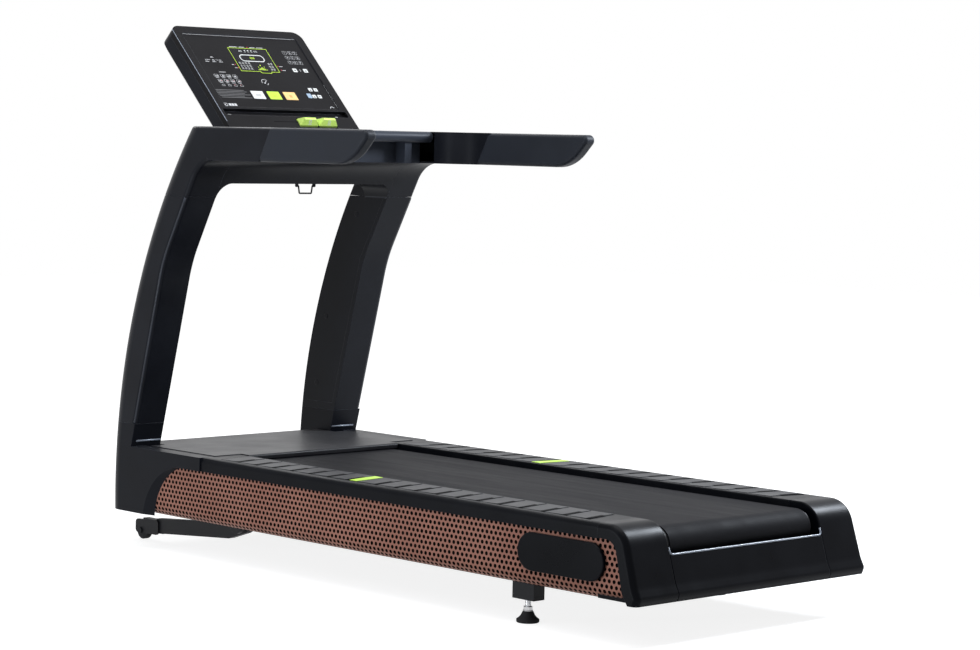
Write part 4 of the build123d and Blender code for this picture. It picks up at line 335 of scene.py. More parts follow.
TURNED = (1, 8, 8)  # stretch of the marks on turned steel
LOOKS = {
    moulded_plastic: {
        "cover": dict(colour=(0.0064, 0.0072, 0.0102), roughness=0.33, specular=0.08),
        # darker copy of the cover colour for the front fairings: painted shade
        "fairing": dict(colour=(0.0046, 0.0053, 0.0078), roughness=0.36, specular=0.07, dust_and_top_light=0.08),
        # light grey for beads and lines: painted highlights on edges
        "rim": dict(colour=(0.24, 0.27, 0.32), roughness=0.26, grain=0.04, specular=0.4, dust_and_top_light=0.0),
        # lighter than the covers, for the edge beads: a painted highlight
        "satin": dict(colour=(0.018, 0.021, 0.029), roughness=0.30, grain=0.04, specular=0.2, dust_and_top_light=0.0),
        # darker copy of the cover colour for the rear covers: painted shade on their rear faces
        "low_cover": dict(
            colour=(0.0012, 0.0016, 0.0030), roughness=0.30, grain=0.08, specular=0.05, dust_and_top_light=0.10,
        ),
        # lighter copy of the cover colour for the dash tray: painted light where it lies in shade
        "dash": dict(colour=(0.026, 0.030, 0.040), dust_and_top_light=0.10),
        "hood": dict(colour=(0.008, 0.008, 0.0095), roughness=0.38, grain=0.16),
        "rail": dict(colour=(0.0030, 0.0035, 0.0052), roughness=0.34, specular=0.05, dust_and_top_light=0.04),
        # lighter grey for the treads: a painted reflection on their tops
        "tread": dict(colour=(0.012, 0.012, 0.0135), roughness=0.46, grain=0.25, dust_and_top_light=0.32),
        "face": dict(colour=(0.0050, 0.0048, 0.0058), roughness=0.36, grain=0.08, specular=0.08, dust_and_top_light=0.0),
    },
    soft_sleeve: {"sleeve": dict(colour=(0.0124, 0.0148, 0.0208))},
    woven_belt: {"belt": {}},
    copper_sheet: {"copper": {}},
    coated_steel: {
        "frame": dict(colour=(0.0095, 0.0098, 0.0115)),
        "grey_cast": dict(colour=(0.10, 0.105, 0.11), roughness=0.5),
    },
    bright_metal: {
        "steel": dict(colour=(0.56, 0.56, 0.57), roughness=0.28, stretch=TURNED),
        # steel darkened far below its own tone: painted shade in the gaps at the rollers' ends
        "dull_steel": dict(colour=(0.075, 0.075, 0.08), roughness=0.5, stretch=TURNED),
        "chrome": dict(colour=(0.78, 0.79, 0.81), roughness=0.12),
        # silver for lines on the console's edges: painted highlights
        "silver": dict(colour=(0.72, 0.73, 0.76), roughness=0.35),
    },
    solid_rubber: {
        "rubber": {},
        "dark": dict(colour=(0.0030, 0.0030, 0.0036), bloomed=(0.006, 0.006, 0.007), specular=0.03),
        # matt black for the hole walls and the sheet behind the panels: painted shade
        "felt": dict(colour=(0.0012, 0.0012, 0.0012), bloomed=(0.002, 0.002, 0.002), specular=0.02),
    },
    printed: {
        "lime": dict(colour=(0.50, 0.78, 0.06), roughness=0.38),
        "lime_paddle": dict(colour=(0.60, 0.84, 0.15), roughness=0.36),
        "lime_print": dict(colour=(0.46, 0.68, 0.04), roughness=0.40),
        "amber": dict(colour=(0.90, 0.56, 0.22)),
        "white": dict(colour=(0.66, 0.67, 0.66)),
        "red": dict(colour=(0.45, 0.03, 0.04)),
        "pale_blue": dict(colour=(0.30, 0.40, 0.52)),
        "white_ink": dict(colour=(0.56, 0.56, 0.57), roughness=0.4),
        "grey_ink": dict(colour=(0.13, 0.13, 0.135), roughness=0.45),
        "amber_ink": dict(colour=(0.62, 0.33, 0.11), roughness=0.4),
    },
    smoked_window: {"window": {}},
    fibreboard: {"board": {}},
}
MATERIALS = {name: make(name, **values) for make, table in LOOKS.items() for name, values in table.items()}


def both(*stems):
    """Names of the left and the right node for each stem."""
    return [f"{stem}_{tag}" for stem in stems for _, tag in SIDES]


NAV_KEYS = [f"nav_key_{number}" for number in range(1, 5)]
NODE_MATERIALS = {
    "cover": both("upright_cover", "handrail_corner") + ["crossbar_cover", "console_housing"],
    "fairing": both("front_fairing"),
    "low_cover": both("rear_corner_cap") + ["rear_center_cover", "badge_plates", "mains_inlet"],
    "dash": ["dash_tray"],
    "hood": ["motor_hood"],
    "rail": both("side_rail"),
    "face": ["console_face"],
    "sleeve": both("handrail_grip"),
    "belt": ["running_belt"],
    "copper": both("side_panel"),
    "frame": both("frame_rail") + [
        "cross_members", "motor_tray", "lift_frame", "mast_frame", "inverter_box", "belly_pan", "lift_pins",
        # the rollers take the dark frame coat: painted shade at the belt's ends
        "front_roller", "rear_roller", "tether_ring",
    ],
    "grey_cast": ["drive_motor", "lift_motor"],
    "dull_steel": ["roller_axles", "roller_bearings"],
    "steel": ["motor_rotor", "lift_screw"],
    "rubber": both("rear_foot", "lift_wheel") + ["deck_cushions", "drive_belt"],
    "lime": ["tread_markers", "key_lime"],
    "lime_paddle": both("paddle"),
    "amber": ["key_amber"],
    "white": ["key_white"] + NAV_KEYS,
    "pale_blue": ["select_key"],
    "window": ["display_lens"],
    "board": ["deck_board"],
}


def dress_nodes():
    """Gives each CAD object one material in place of what it has."""
    for material, names in NODE_MATERIALS.items():
        for name in names:
            nodes[name].data.materials.clear()
            nodes[name].data.materials.append(MATERIALS[material])


# ----- mesh helpers
WELD = 0.01 * MM  # points nearer to each other than this are one


def piece(name, mesh, material, body="base", smooth=False):
    """Makes a mesh into a named piece of the object that rides on a body."""
    obj = placed(name, mesh)
    obj.data.materials.append(MATERIALS[material])
    for polygon in mesh.polygons:
        polygon.use_smooth = smooth
    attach(obj, body)
    return obj


def mesh_of(bm, name):
    """The mesh of a bmesh that is done with."""
    mesh = bpy.data.meshes.new(name)
    bm.to_mesh(mesh)
    bm.free()
    return mesh


def solid(name, bm, material, body="base", smooth=False):
    """Makes a bmesh into a piece, welded and with its faces turned the same way."""
    bmesh.ops.remove_doubles(bm, verts=bm.verts, dist=WELD)
    bmesh.ops.recalc_face_normals(bm, faces=bm.faces)
    return piece(name, mesh_of(bm, name), material, body, smooth)


def circle(radius, sides):
    """Corners of a regular polygon about (0, 0), counter-clockwise."""
    return [(radius * cos(2 * pi * k / sides), radius * sin(2 * pi * k / sides)) for k in range(sides)]


def skin(bm, rings, capped=(0, -1)):
    """Joins rings of vertices in a row and closes those named in capped."""
    for near, far in zip(rings, rings[1:]):
        for k in range(len(near)):
            after = (k + 1) % len(near)
            bm.faces.new([near[k], near[after], far[after], far[k]])
    for end in capped:
        bm.faces.new(rings[end])


def flanks(low, high):
    """Distances of a box's inner and outer face from the machine's middle plane."""
    return min(abs(low.x), abs(high.x)), max(abs(low.x), abs(high.x))


# ----- perforated side panels
CURL_RADIUS = 35 * MM
ROW_STEP = 14.6 * MM
COLUMN_STEP = 17 * MM
FIRST_ROW = 13.5 * MM  # middle of the top row below the sheet's top edge
SHEET = 1.5 * MM
CELL_RING = ((1, 0), (1, 1), (0, 1), (-1, 1), (-1, 0), (-1, -1), (0, -1), (1, -1))
HOLE_SIDES = 2 * len(CELL_RING)
HOLE_RADIUS = 5.5 * MM
HOLE_RIM = circle(HOLE_RADIUS, HOLE_SIDES)
SHADE_SHEET_DEPTH = 3 * MM  # black sheet behind the perforated sheet: painted shade seen through the holes
SHADE_SHEET_INSET = 6 * MM  # shade sheet's ends from the perforated sheet's ends
SHADE_SHEET_STEPS = 8  # around the curl
PROBE = 1 * MM  # how near to an edge a place on a CAD face is looked up


def panel_section(low, high):
    """Length of the panel's section down to the start of its curl, and to the end of its foot."""
    inner, outer = flanks(low, high)
    straight = high.z - low.z - CURL_RADIUS
    return straight, straight + CURL_RADIUS * pi / 2 + outer - CURL_RADIUS - inner


def panel_point(side, low, high, down, along, sunk=0.0):
    """A point of the side panel's skin: down its section from the top edge, along y, sunk inwards."""
    outer = flanks(low, high)[1]
    centre_x, centre_z = outer - CURL_RADIUS, low.z + CURL_RADIUS
    turn = (down - panel_section(low, high)[0]) / CURL_RADIUS
    if turn <= 0:
        x, z = outer - sunk, high.z - down
    elif turn < pi / 2:
        x, z = centre_x + (CURL_RADIUS - sunk) * cos(turn), centre_z - (CURL_RADIUS - sunk) * sin(turn)
    else:
        x, z = centre_x - (turn - pi / 2) * CURL_RADIUS, low.z + sunk
    return side * x, along, z


def cut_rear_end(bm, tag, low, high, inset=0.0):
    """Cuts a panel's mesh along the CAD panel's slanted rear end."""
    panel = nodes[f"side_panel_{tag}"]
    corners = [panel.matrix_world @ vertex.co for vertex in panel.data.vertices]
    slant = min(corner.y for corner in corners if corner.z > high.z - PROBE) - low.y
    bmesh.ops.bisect_plane(
        bm, geom=bm.verts[:] + bm.edges[:] + bm.faces[:], dist=WELD, clear_outer=True,
        plane_co=(0, low.y + inset, low.z), plane_no=(0, low.z - high.z, slant),
    )


def perforated_panel(side, tag):
    """The curled side panel as a sheet with staggered round holes, each with its cut wall in black as
    painted shade.
    """
    low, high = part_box(f"side_panel_{tag}")
    full_down = panel_section(low, high)[1]
    columns = round((high.y - low.y) / COLUMN_STEP)
    pitch = (high.y - low.y) / columns
    first = FIRST_ROW - ROW_STEP / 2
    rows = int((full_down - first) / ROW_STEP)
    bm = bmesh.new()

    def vertex(down, along, sunk=0.0):
        return bm.verts.new(panel_point(side, low, high, down, along, sunk))

    def strip(top, bottom, start, end):
        """Plain sheet between two rows, in steps of half a hole's pitch."""
        steps = max(1, round((end - start) / (pitch / 2)))
        for step in range(steps):
            a, b = (start + (end - start) * k / steps for k in (step, step + 1))
            bm.faces.new([vertex(top, a), vertex(top, b), vertex(bottom, b), vertex(bottom, a)])

    def cell(top, along):
        """One hole with its wall and the sheet around it."""
        middle = top + ROW_STEP / 2
        hole, back = ([vertex(middle + v, along + u, sunk) for u, v in HOLE_RIM] for sunk in (0.0, SHEET))
        ring = [vertex(middle + v * ROW_STEP / 2, along + u * pitch / 2) for u, v in CELL_RING]
        for k in range(len(ring)):
            a, b = ring[k], ring[(k + 1) % len(ring)]
            h0, h1, h2 = hole[2 * k], hole[2 * k + 1], hole[(2 * k + 2) % HOLE_SIDES]
            for corners in ([a, h0, h1], [a, h1, b], [b, h1, h2]):
                bm.faces.new(corners)
        for k in range(HOLE_SIDES):
            after = (k + 1) % HOLE_SIDES
            # hole walls take the second material, black: painted shade
            bm.faces.new([hole[k], back[k], back[after], hole[after]]).material_index = 1

    strip(0, first, low.y, high.y)
    for row in range(rows):
        top = first + row * ROW_STEP
        shift = pitch / 2 if row % 2 else 0.0
        for column in range(columns - row % 2):
            cell(top, low.y + pitch * (column + 0.5) + shift)
        if shift:
            strip(top, top + ROW_STEP, low.y, low.y + shift)
            strip(top, top + ROW_STEP, high.y - shift, high.y)
    strip(first + rows * ROW_STEP, full_down, low.y, high.y)
    cut_rear_end(bm, tag, low, high)
    panel = solid(f"perforated_panel_{tag}", bm, "copper")
    # black for the hole walls: painted shade
    panel.data.materials.append(MATERIALS["felt"])
    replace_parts(panel, f"side_panel_{tag}")


def panel_shade_sheet(side, tag):
    """Black sheet behind the perforated sheet, following its curl: painted shade seen through the holes."""
    low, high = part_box(f"side_panel_{tag}")
    straight, full_down = panel_section(low, high)
    downs = [0, straight]
    downs += [straight + CURL_RADIUS * pi / 2 * k / SHADE_SHEET_STEPS for k in range(1, SHADE_SHEET_STEPS + 1)]
    downs.append(full_down)
    ends = (low.y + SHADE_SHEET_INSET, high.y - SHADE_SHEET_INSET)
    bm = bmesh.new()
    rows = [
        [bm.verts.new(panel_point(side, low, high, down, y, SHADE_SHEET_DEPTH)) for y in ends] for down in downs
    ]
    for upper, lower in zip(rows, rows[1:]):
        bm.faces.new([upper[0], upper[1], lower[1], lower[0]])
    cut_rear_end(bm, tag, low, high, SHADE_SHEET_INSET)
    solid(f"panel_shade_sheet_{tag}", bm, "felt", smooth=True)


# ----- treads on the side rails
TREAD_PITCH = 82 * MM
TREAD_GAP = 5 * MM
TREAD_SLANT = 15 * MM  # inner end of a tread ahead of its outer end
TREAD_INNER = 12 * MM  # treads from the inner edge of the rail
TREAD_OUTER = 26 * MM  # treads from its outer edge
TREAD_LIFT = 1.5 * MM  # a tread's rear end above the rail
TREAD_LOW_END = 0.5 * MM  # its front end
TREADS_START = 6 * MM  # least plain length at the rail's rear end
MARKER_LENGTH = 34 * MM
SLOT_LENGTH = 15 * MM
SLOT_WIDTH = 74 * MM
SLOT_LIFT = TREAD_LIFT + 0.1 * MM
BED_LIFT = 0.15 * MM
BED_RIM = 1 * MM  # bed and slots past the treads' edges


def slanted_plate(bm, side, across, along, lifts, floor_z):
    """Adds a plate on the rail between two distances across and two along, with a lift at each end."""
    def row(y, z):
        return [bm.verts.new((side * x, y + ahead, z)) for x, ahead in zip(across, (TREAD_SLANT, 0))]

    top = [row(y, floor_z + lift) for y, lift in zip(along, lifts)]
    base = [row(y, floor_z) for y in along]
    bm.faces.new([top[0][0], top[0][1], top[1][1], top[1][0]])
    for edge, foot in zip(top, base):
        bm.faces.new([foot[0], foot[1], edge[1], edge[0]])
    for end in (0, 1):
        bm.faces.new([top[0][end], top[1][end], base[1][end], base[0][end]])


def side_treads(side, tag):
    """Slanted raised treads along a side rail, a lime one in their midst, and dark slots and a dark bed
    between them as painted shade of the grooves and gaps.
    """
    low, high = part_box(f"side_rail_{tag}")
    inner, outer = flanks(low, high)
    across = (inner + TREAD_INNER, outer - TREAD_OUTER)
    slot_across = (across[1] - SLOT_WIDTH, across[1] + BED_RIM)
    bed_across = (across[0] - BED_RIM, across[1] + BED_RIM)
    marker_low, marker_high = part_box("tread_markers")
    marker_start = (marker_low.y + marker_high.y) / 2 - MARKER_LENGTH / 2 - TREAD_SLANT / 2
    behind = int((marker_start - low.y - TREADS_START) / TREAD_PITCH)
    ahead = int((high.y - TREAD_SLANT - marker_start) / TREAD_PITCH)
    starts = [marker_start - TREAD_PITCH * k for k in range(behind, 0, -1)]
    starts += [marker_start + MARKER_LENGTH + TREAD_GAP + TREAD_PITCH * k for k in range(ahead - 1)]
    treads, slots, bed, marker = (bmesh.new() for _ in range(4))
    for start in starts:
        end = start + TREAD_PITCH - TREAD_GAP
        slanted_plate(treads, side, across, (start, end), (TREAD_LIFT, TREAD_LOW_END), high.z)
        middle = start - TREAD_GAP / 2
        slot_along = (middle - SLOT_LENGTH / 2, middle + SLOT_LENGTH / 2)
        slanted_plate(slots, side, slot_across, slot_along, (SLOT_LIFT, SLOT_LIFT), high.z)
    bed_along = (starts[0] - TREAD_GAP, starts[-1] + TREAD_PITCH)
    slanted_plate(bed, side, bed_across, bed_along, (BED_LIFT, BED_LIFT), high.z)
    marker_along = (marker_start, marker_start + MARKER_LENGTH)
    slanted_plate(marker, side, across, marker_along, (TREAD_LIFT, TREAD_LIFT), high.z)
    # the dark slots and bed are painted shade in the grooves and gaps
    for bm, stem, material, slot in (
        (treads, "treads", "tread", "rail_tread"), (slots, "tread_slot_shade", "dark", "rail_tread"),
        (bed, "tread_gap_shade", "dark", "rail_tread"), (marker, "lime_tread", "lime", "lime"),
    ):
        shown = solid(f"{stem}_{tag}", bm, material)
        if bm is marker:
            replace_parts(shown, "tread_markers")


# ----- levelling feet
PAD_PROFILE = (  # share of the pad's radius, height above the floor
    (0.93, 0), (1, 2 * MM), (1, 8 * MM), (0.97, 9.5 * MM), (0.80, 13 * MM), (0.63, 19 * MM),
    (0.52, 26 * MM), (0.46, 30 * MM), (0.42, 31 * MM),
)
PAD_TOP = PAD_PROFILE[-1][1]
WASHER_RADIUS = 13.5 * MM
WASHER_TOP = PAD_TOP + 1.5 * MM
NUT_RADIUS = 12.6 * MM  # to its corners
NUT_END_RADIUS = 11.5 * MM  # at its chamfered ends
NUT_CHAMFER = 1 * MM
NUT_TOP = 43 * MM
STEM_RADIUS = 8 * MM
THREAD_PITCH = 2 * MM
THREAD_DEPTH = 0.9 * MM
THREAD_START = 0.6 * MM  # depth of the first turn's start
PAD_SIDES, WASHER_SIDES, NUT_SIDES, STEM_SIDES = 48, 32, 6, 24
THREAD_TURN = (  # depth below the crest, height within one turn
    (THREAD_DEPTH, 0.3 * MM), (0, 0.9 * MM), (0, 1.3 * MM), (THREAD_DEPTH, 1.9 * MM),
)


def lathe(bm, centre, profile, sides):
    """Adds a body of revolution about a vertical axis; profile is (radius, z) upwards."""
    skin(bm, [
        [bm.verts.new((centre[0] + u, centre[1] + v, z)) for u, v in circle(radius, sides)]
        for radius, z in profile
    ])


def levelling_foot(tag):
    """Rear foot: bell-shaped rubber pad, zinc nut and washer, and a threaded stem."""
    body = f"rear_foot_{tag}"
    low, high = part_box(body)
    centre = ((low.x + high.x) / 2, (low.y + high.y) / 2)
    reach = (high.x - low.x) / 2
    pad, nut, stem = (bmesh.new() for _ in range(3))
    lathe(pad, centre, [(reach * share, z) for share, z in PAD_PROFILE], PAD_SIDES)
    lathe(nut, centre, [(WASHER_RADIUS, PAD_TOP), (WASHER_RADIUS, WASHER_TOP)], WASHER_SIDES)
    lathe(nut, centre, [
        (NUT_END_RADIUS, WASHER_TOP), (NUT_RADIUS, WASHER_TOP + NUT_CHAMFER),
        (NUT_RADIUS, NUT_TOP - NUT_CHAMFER), (NUT_END_RADIUS, NUT_TOP),
    ], NUT_SIDES)
    profile = [(STEM_RADIUS - THREAD_START, NUT_TOP)]
    for turn in range(int((high.z - NUT_TOP) / THREAD_PITCH)):
        base = NUT_TOP + turn * THREAD_PITCH
        profile += [(STEM_RADIUS - depth, base + rise) for depth, rise in THREAD_TURN]
    profile.append((STEM_RADIUS - THREAD_DEPTH, high.z))
    lathe(stem, centre, profile, STEM_SIDES)
    for bm, stem, material, slot, smooth in (
        (pad, "foot_pad", "rubber", "wheel_rubber", True), (nut, "foot_nut", "steel", "steel", False),
        (stem, "foot_stem", "chrome", "chrome", False),
    ):
        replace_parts(solid(f"{stem}_{tag}", bm, material, body, smooth), body)


# ----- plugs on the uprights' inner faces
PLUG_PLACES = ((0.878, 1.026), (1.020, 0.688), (1.062, 0.467))  # y, z
PLUG_SIDES = 24
PLUG_PROFILE = ((9 * MM, 0), (9 * MM, 0.5 * MM), (8.2 * MM, 0.9 * MM))  # radius, height above the face
RECESS = 2.5 * MM  # depth of the upright's inner face behind its rims


def screw_plugs(side, tag):
    """Round caps over the screws in an upright's inner face."""
    face_x = flanks(*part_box(f"upright_cover_{tag}"))[0] + RECESS
    bm = bmesh.new()
    for y, z in PLUG_PLACES:
        skin(bm, [
            [bm.verts.new((side * (face_x - lift), y + u, z + v)) for u, v in circle(radius, PLUG_SIDES)]
            for radius, lift in PLUG_PROFILE
        ], capped=(-1,))
    solid(f"screw_plugs_{tag}", bm, "cover")


# ----- printing on the console
FACE_THICKNESS = 18 * MM
FACE_SLOPE = cos(radians(45))
OVERLAY_DEPTH = 2.5  # depths below the front of the console's face, in mm
LENS_DEPTH = 2.0
KEY_DEPTH = 1.5
GROOVE_DEPTH = 13
INK = 0.12  # thickness of the print, in mm
DISC_SIDES = 14
CORNER_STEPS = 5  # around a rounded corner


class Print:
    """Thin flat shapes in mm: x to the runner's right, down from the face's top edge or a given middle."""

    def __init__(self, depth=OVERLAY_DEPTH, middle=None, normal=None):
        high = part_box("console_face")[1]
        self.middle = middle or Vector((0, high.y - FACE_THICKNESS * FACE_SLOPE, high.z))
        self.normal = normal or Vector((0, -FACE_SLOPE, FACE_SLOPE))
        self.downward = Vector((1, 0, 0)).cross(self.normal)
        self.lift = INK - depth
        self.bm = bmesh.new()

    def at(self, x, down):
        """The point of space for a place on the face."""
        return self.middle + (Vector((x, 0, 0)) + self.downward * down + self.normal * self.lift) * MM

    def shape(self, points):
        """A filled outline, its points counter-clockwise as the runner sees them."""
        self.bm.faces.new([self.bm.verts.new(self.at(x, down)) for x, down in points])

    def bar(self, x, down, width, height):
        """A filled rectangle about its middle."""
        w, h = width / 2, height / 2
        self.shape([(x - w, down + h), (x + w, down + h), (x + w, down - h), (x - w, down - h)])

    def band(self, outer, inner):
        """The strip between two outlines that have as many points."""
        for k in range(len(outer)):
            after = (k + 1) % len(outer)
            self.shape([outer[k], outer[after], inner[after], inner[k]])

    def frame(self, x, down, width, height, line, corner=0.0):
        """A rectangular or rounded outline of that line width."""
        self.band(
            rounded(x, down, width, height, corner),
            rounded(x, down, width - 2 * line, height - 2 * line, max(corner - line, 0)),
        )

    def disc(self, x, down, radius):
        """A filled dot."""
        self.shape([(x + u, down - v) for u, v in circle(radius, DISC_SIDES)])

    def arc(self, x, down, radius, line, start, end, steps=10):
        """Part of a ring, between two angles in degrees."""
        for k in range(steps):
            a, b = (radians(start + (end - start) * step / steps) for step in (k, k + 1))
            self.shape([
                (x + r * cos(t), down - r * sin(t))
                for r, t in ((radius, a), (radius, b), (radius - line, b), (radius - line, a))
            ])

    def digits(self, text, x, down, size):
        """Plain numerals, centred."""
        curve = bpy.data.curves.new("numeral", "FONT")
        curve.body = text
        curve.size = size
        curve.align_x = "CENTER"
        curve.align_y = "CENTER"
        holder = bpy.data.objects.new("numeral", curve)
        mesh = bpy.data.meshes.new_from_object(holder)
        for polygon in mesh.polygons:
            corners = [mesh.vertices[index].co for index in polygon.vertices]
            self.shape([(x + c.x, down - c.y) for c in corners])
        bpy.data.objects.remove(holder)
        bpy.data.curves.remove(curve)
        bpy.data.meshes.remove(mesh)

    def done(self, name, material, slot="white_key", body="base"):
        """Makes the gathered shapes into a piece."""
        return piece(name, mesh_of(self.bm, name), material, body)


def rounded(x, down, width, height, corner):
    """Outline of a rectangle with rounded corners, counter-clockwise from its lower left."""
    points = []
    for quarter, (sx, sy) in enumerate(((-1, 1), (1, 1), (1, -1), (-1, -1))):
        centre_x = x + sx * (width / 2 - corner)
        centre_down = down + sy * (height / 2 - corner)
        for k in range(CORNER_STEPS + 1):
            turn = radians(180 + 90 * quarter + 90 * k / CORNER_STEPS)
            points.append((centre_x + corner * cos(turn), centre_down - corner * sin(turn)))
    return points


# The prints' tables are in mm on the console's face: x, down, then width and height.
# bright lines on the overlay's top edge and right recess wall: painted highlights
OVERLAY_EDGE_HIGHLIGHTS = ((0, 32.6, 452, 1.9), (228.6, 290, 1.1, 104))
# bright line on the face's left edge: painted highlight
FACE_EDGE_INSET = 3
FACE_EDGE_HIGHLIGHT = (216, 1.8, 400)  # down, width, height
FRAME_LINE = 1.8
FRAME_CORNERS = (  # place, and the way into the frame from it
    (-78, 190, 1, -1), (-2, 190, 1, -1), (2, 196, 1, -1), (42, 196, -1, -1), (46, 190, -1, -1),
    (78, 190, -1, -1), (78, 85, -1, 1), (-78, 85, 1, 1),
)
TRACK_LOOP = (-2.5, 130, 98, 31, 3.4, 15)  # with its line and corner
BOX_COLUMNS = (-38, -31, 24, 31)  # small boxes above the loop
SIGN_COLUMNS = (-15, -2, 11)  # signs between them
READOUT_COLUMNS = (-64, -52, -40, -28, 52, 62)
READOUT_ROWS = (156, 168, 180)
LEVEL_BARS = 7
LEVEL_FOOT = (-2, 181)  # x of the first bar, and where its middle lies
LEVEL_STEP = 5.5
LEVEL_RISE = 3.2  # of each bar over its outer neighbour
LENS_DOTS = ((13, 161, 2.6), (2, 169, 1.8), (25, 168, 1.8))  # x, down, radius


def edge_highlight_lines():
    """Painted highlights: bright lines on the overlay's edges and on the face's left edge."""
    silver = Print()
    for line in OVERLAY_EDGE_HIGHLIGHTS:
        silver.bar(*line)
    silver.done("overlay_edge_highlights", "silver")
    edge = Print(0)
    edge.bar(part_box("console_face")[0].x / MM + FACE_EDGE_INSET, *FACE_EDGE_HIGHLIGHT)
    edge.done("face_edge_highlight", "rim", "black_cover")


def display_graphics():
    """Lap track, numerals, lamps and the lime frame of the display window."""
    lime = Print(LENS_DEPTH)
    lime.band(
        [(x, down) for x, down, _, _ in FRAME_CORNERS],
        [(x + FRAME_LINE * in_x, down + FRAME_LINE * in_down) for x, down, in_x, in_down in FRAME_CORNERS],
    )
    lime.done("display_frame_line", "lime_print", "lime")

    track = Print(LENS_DEPTH)
    track.frame(*TRACK_LOOP)
    for x in BOX_COLUMNS:
        track.frame(x, 99, 5.5, 5.5, 0.9)
    for x in SIGN_COLUMNS:
        track.bar(x, 96, 5, 4)
        track.bar(x, 102, 7, 1.2)
    for x in READOUT_COLUMNS:
        for down in READOUT_ROWS:
            track.bar(x, down, 7.5, 1.1)
            track.frame(x, down - 4.5, 6, 4.2, 0.8)
    track.done("display_track", "white")

    lamps = Print(LENS_DEPTH)
    lamps.digits("888", -2, 130, 13)
    middle = LEVEL_BARS // 2
    for k in range(LEVEL_BARS):
        rise = LEVEL_RISE * (middle - abs(k - middle))
        lamps.bar(LEVEL_FOOT[0] + k * LEVEL_STEP, LEVEL_FOOT[1] - rise / 2, 3.6, 3.0 + rise)
    for dot in LENS_DOTS:
        lamps.disc(*dot)
    lamps.done("display_lamps", "lime_print", "lime")


LEGENDS = (  # x, down, width
    (-96, 162, 9), (-91, 176, 10), (97, 162, 13), (101, 179, 13),
    (-52, 80.5, 32), (-18, 80.5, 22), (24, 80.5, 22), (54, 80.5, 26),
)
LEGEND_HEIGHT = 2.2
RED_LAMPS = ((-86, 160), (-81, 174), (86, 161), (90, 178), (4, 80.5))
DEVICES = (-192, -165, -139)  # columns of the device icons
DEVICE_LINKS = (-181, -149)
WAVES = ((7, 1.4), (3.6, 1.2))  # radius and line of the arcs over the middle device
PROGRAM_HEADING = (-158, 198, 26, 2.0)
PROGRAMS_LEFT = -190
PROGRAM_STEP = 24  # between the program icons of a row
PROGRAM_SHIFT = 4  # of the lower row
PROGRAM_ROWS = (214, 236)
ICON_BARS = (2, 4.5, 3, 6)  # heights of the bars in every other program icon
TICK = ((-15, 238), (-11, 243), (-1, 231), (-2.5, 229.5), (-11, 240), (-13.5, 236.5))
TICK_RING = (-9, 236, 13, 1.7)  # x, down, radius, line
TEXT_LEFT = -235
TEXT_TOP = 277
TEXT_STEP = 6.4
TEXT_SLANT = 3  # each line starts that much further right
TEXT_WIDTHS = (118, 124, 110, 126, 96, 120)


def overlay_marks():
    """Red lamps and the legends' bars around the display and under the program icons."""
    red = Print()
    for x, down in RED_LAMPS:
        red.disc(x, down, 2.1)
    for k in range(4):
        red.disc(-181 + PROGRAM_STEP * k, 236, 1.6)
    for k in (2, 3):
        red.disc(-186 + PROGRAM_STEP * k, 253, 1.8)
    red.done("console_red_dots", "red", "amber")

    legends = Print()
    for x, down, width in LEGENDS:
        legends.bar(x, down, width, LEGEND_HEIGHT)
    legends.done("display_legends", "white_ink")


def icon_groups():
    """Small pictograms at the left of the overlay, for programs, and the symbol in the middle."""
    icons = Print()
    for radius, line in WAVES:
        icons.arc(DEVICES[1], 137, radius, line, 20, 160)
    for x in DEVICES:
        icons.frame(x, 146, 8, 5.5, 1.1, 1.5)
        icons.bar(x, 153, 15, 1.7)
    for x in DEVICE_LINKS:
        icons.arc(x, 141, 5, 1.2, 180, 330)
    icons.bar(*PROGRAM_HEADING)
    for row, down in enumerate(PROGRAM_ROWS):
        for k in range(4):
            x = PROGRAMS_LEFT + PROGRAM_STEP * k + PROGRAM_SHIFT * row
            icons.frame(x, down, 17, 11, 0.9, 2)
            if k % 2:
                icons.shape([(x - 6, down + 3), (x + 6, down + 3), (x + 2, down - 3), (x - 1, down + 1)])
            else:
                for step in range(len(ICON_BARS)):
                    rise = ICON_BARS[(step + row) % len(ICON_BARS)]
                    icons.bar(x - 5.2 + 3.5 * step, down + 3.4 - rise / 2, 2.2, rise)
            icons.bar(x, down + 9.5, 13, 1.5)
    for k in range(4):
        icons.frame(-184 + PROGRAM_STEP * k, 256, 12, 7, 0.9, 2)
    icons.arc(*TICK_RING, 25, 200)
    icons.arc(*TICK_RING, 290, 340)
    icons.shape(TICK)
    icons.done("program_icons", "white_ink")

    small = Print()
    for row, width in enumerate(TEXT_WIDTHS):
        small.bar(TEXT_LEFT + width / 2 + TEXT_SLANT * row, TEXT_TOP + TEXT_STEP * row, width, 2.0)
    small.done("fine_print_lines", "grey_ink")


KEYPAD_LEFT = 148  # middle of its first column
KEYPAD_TOP = 97
KEYPAD_STEPS = (21, 22)
KEYPAD_LAST_ROW = 176
PALE_KEYS = (147, 191)  # at both ends of the last row


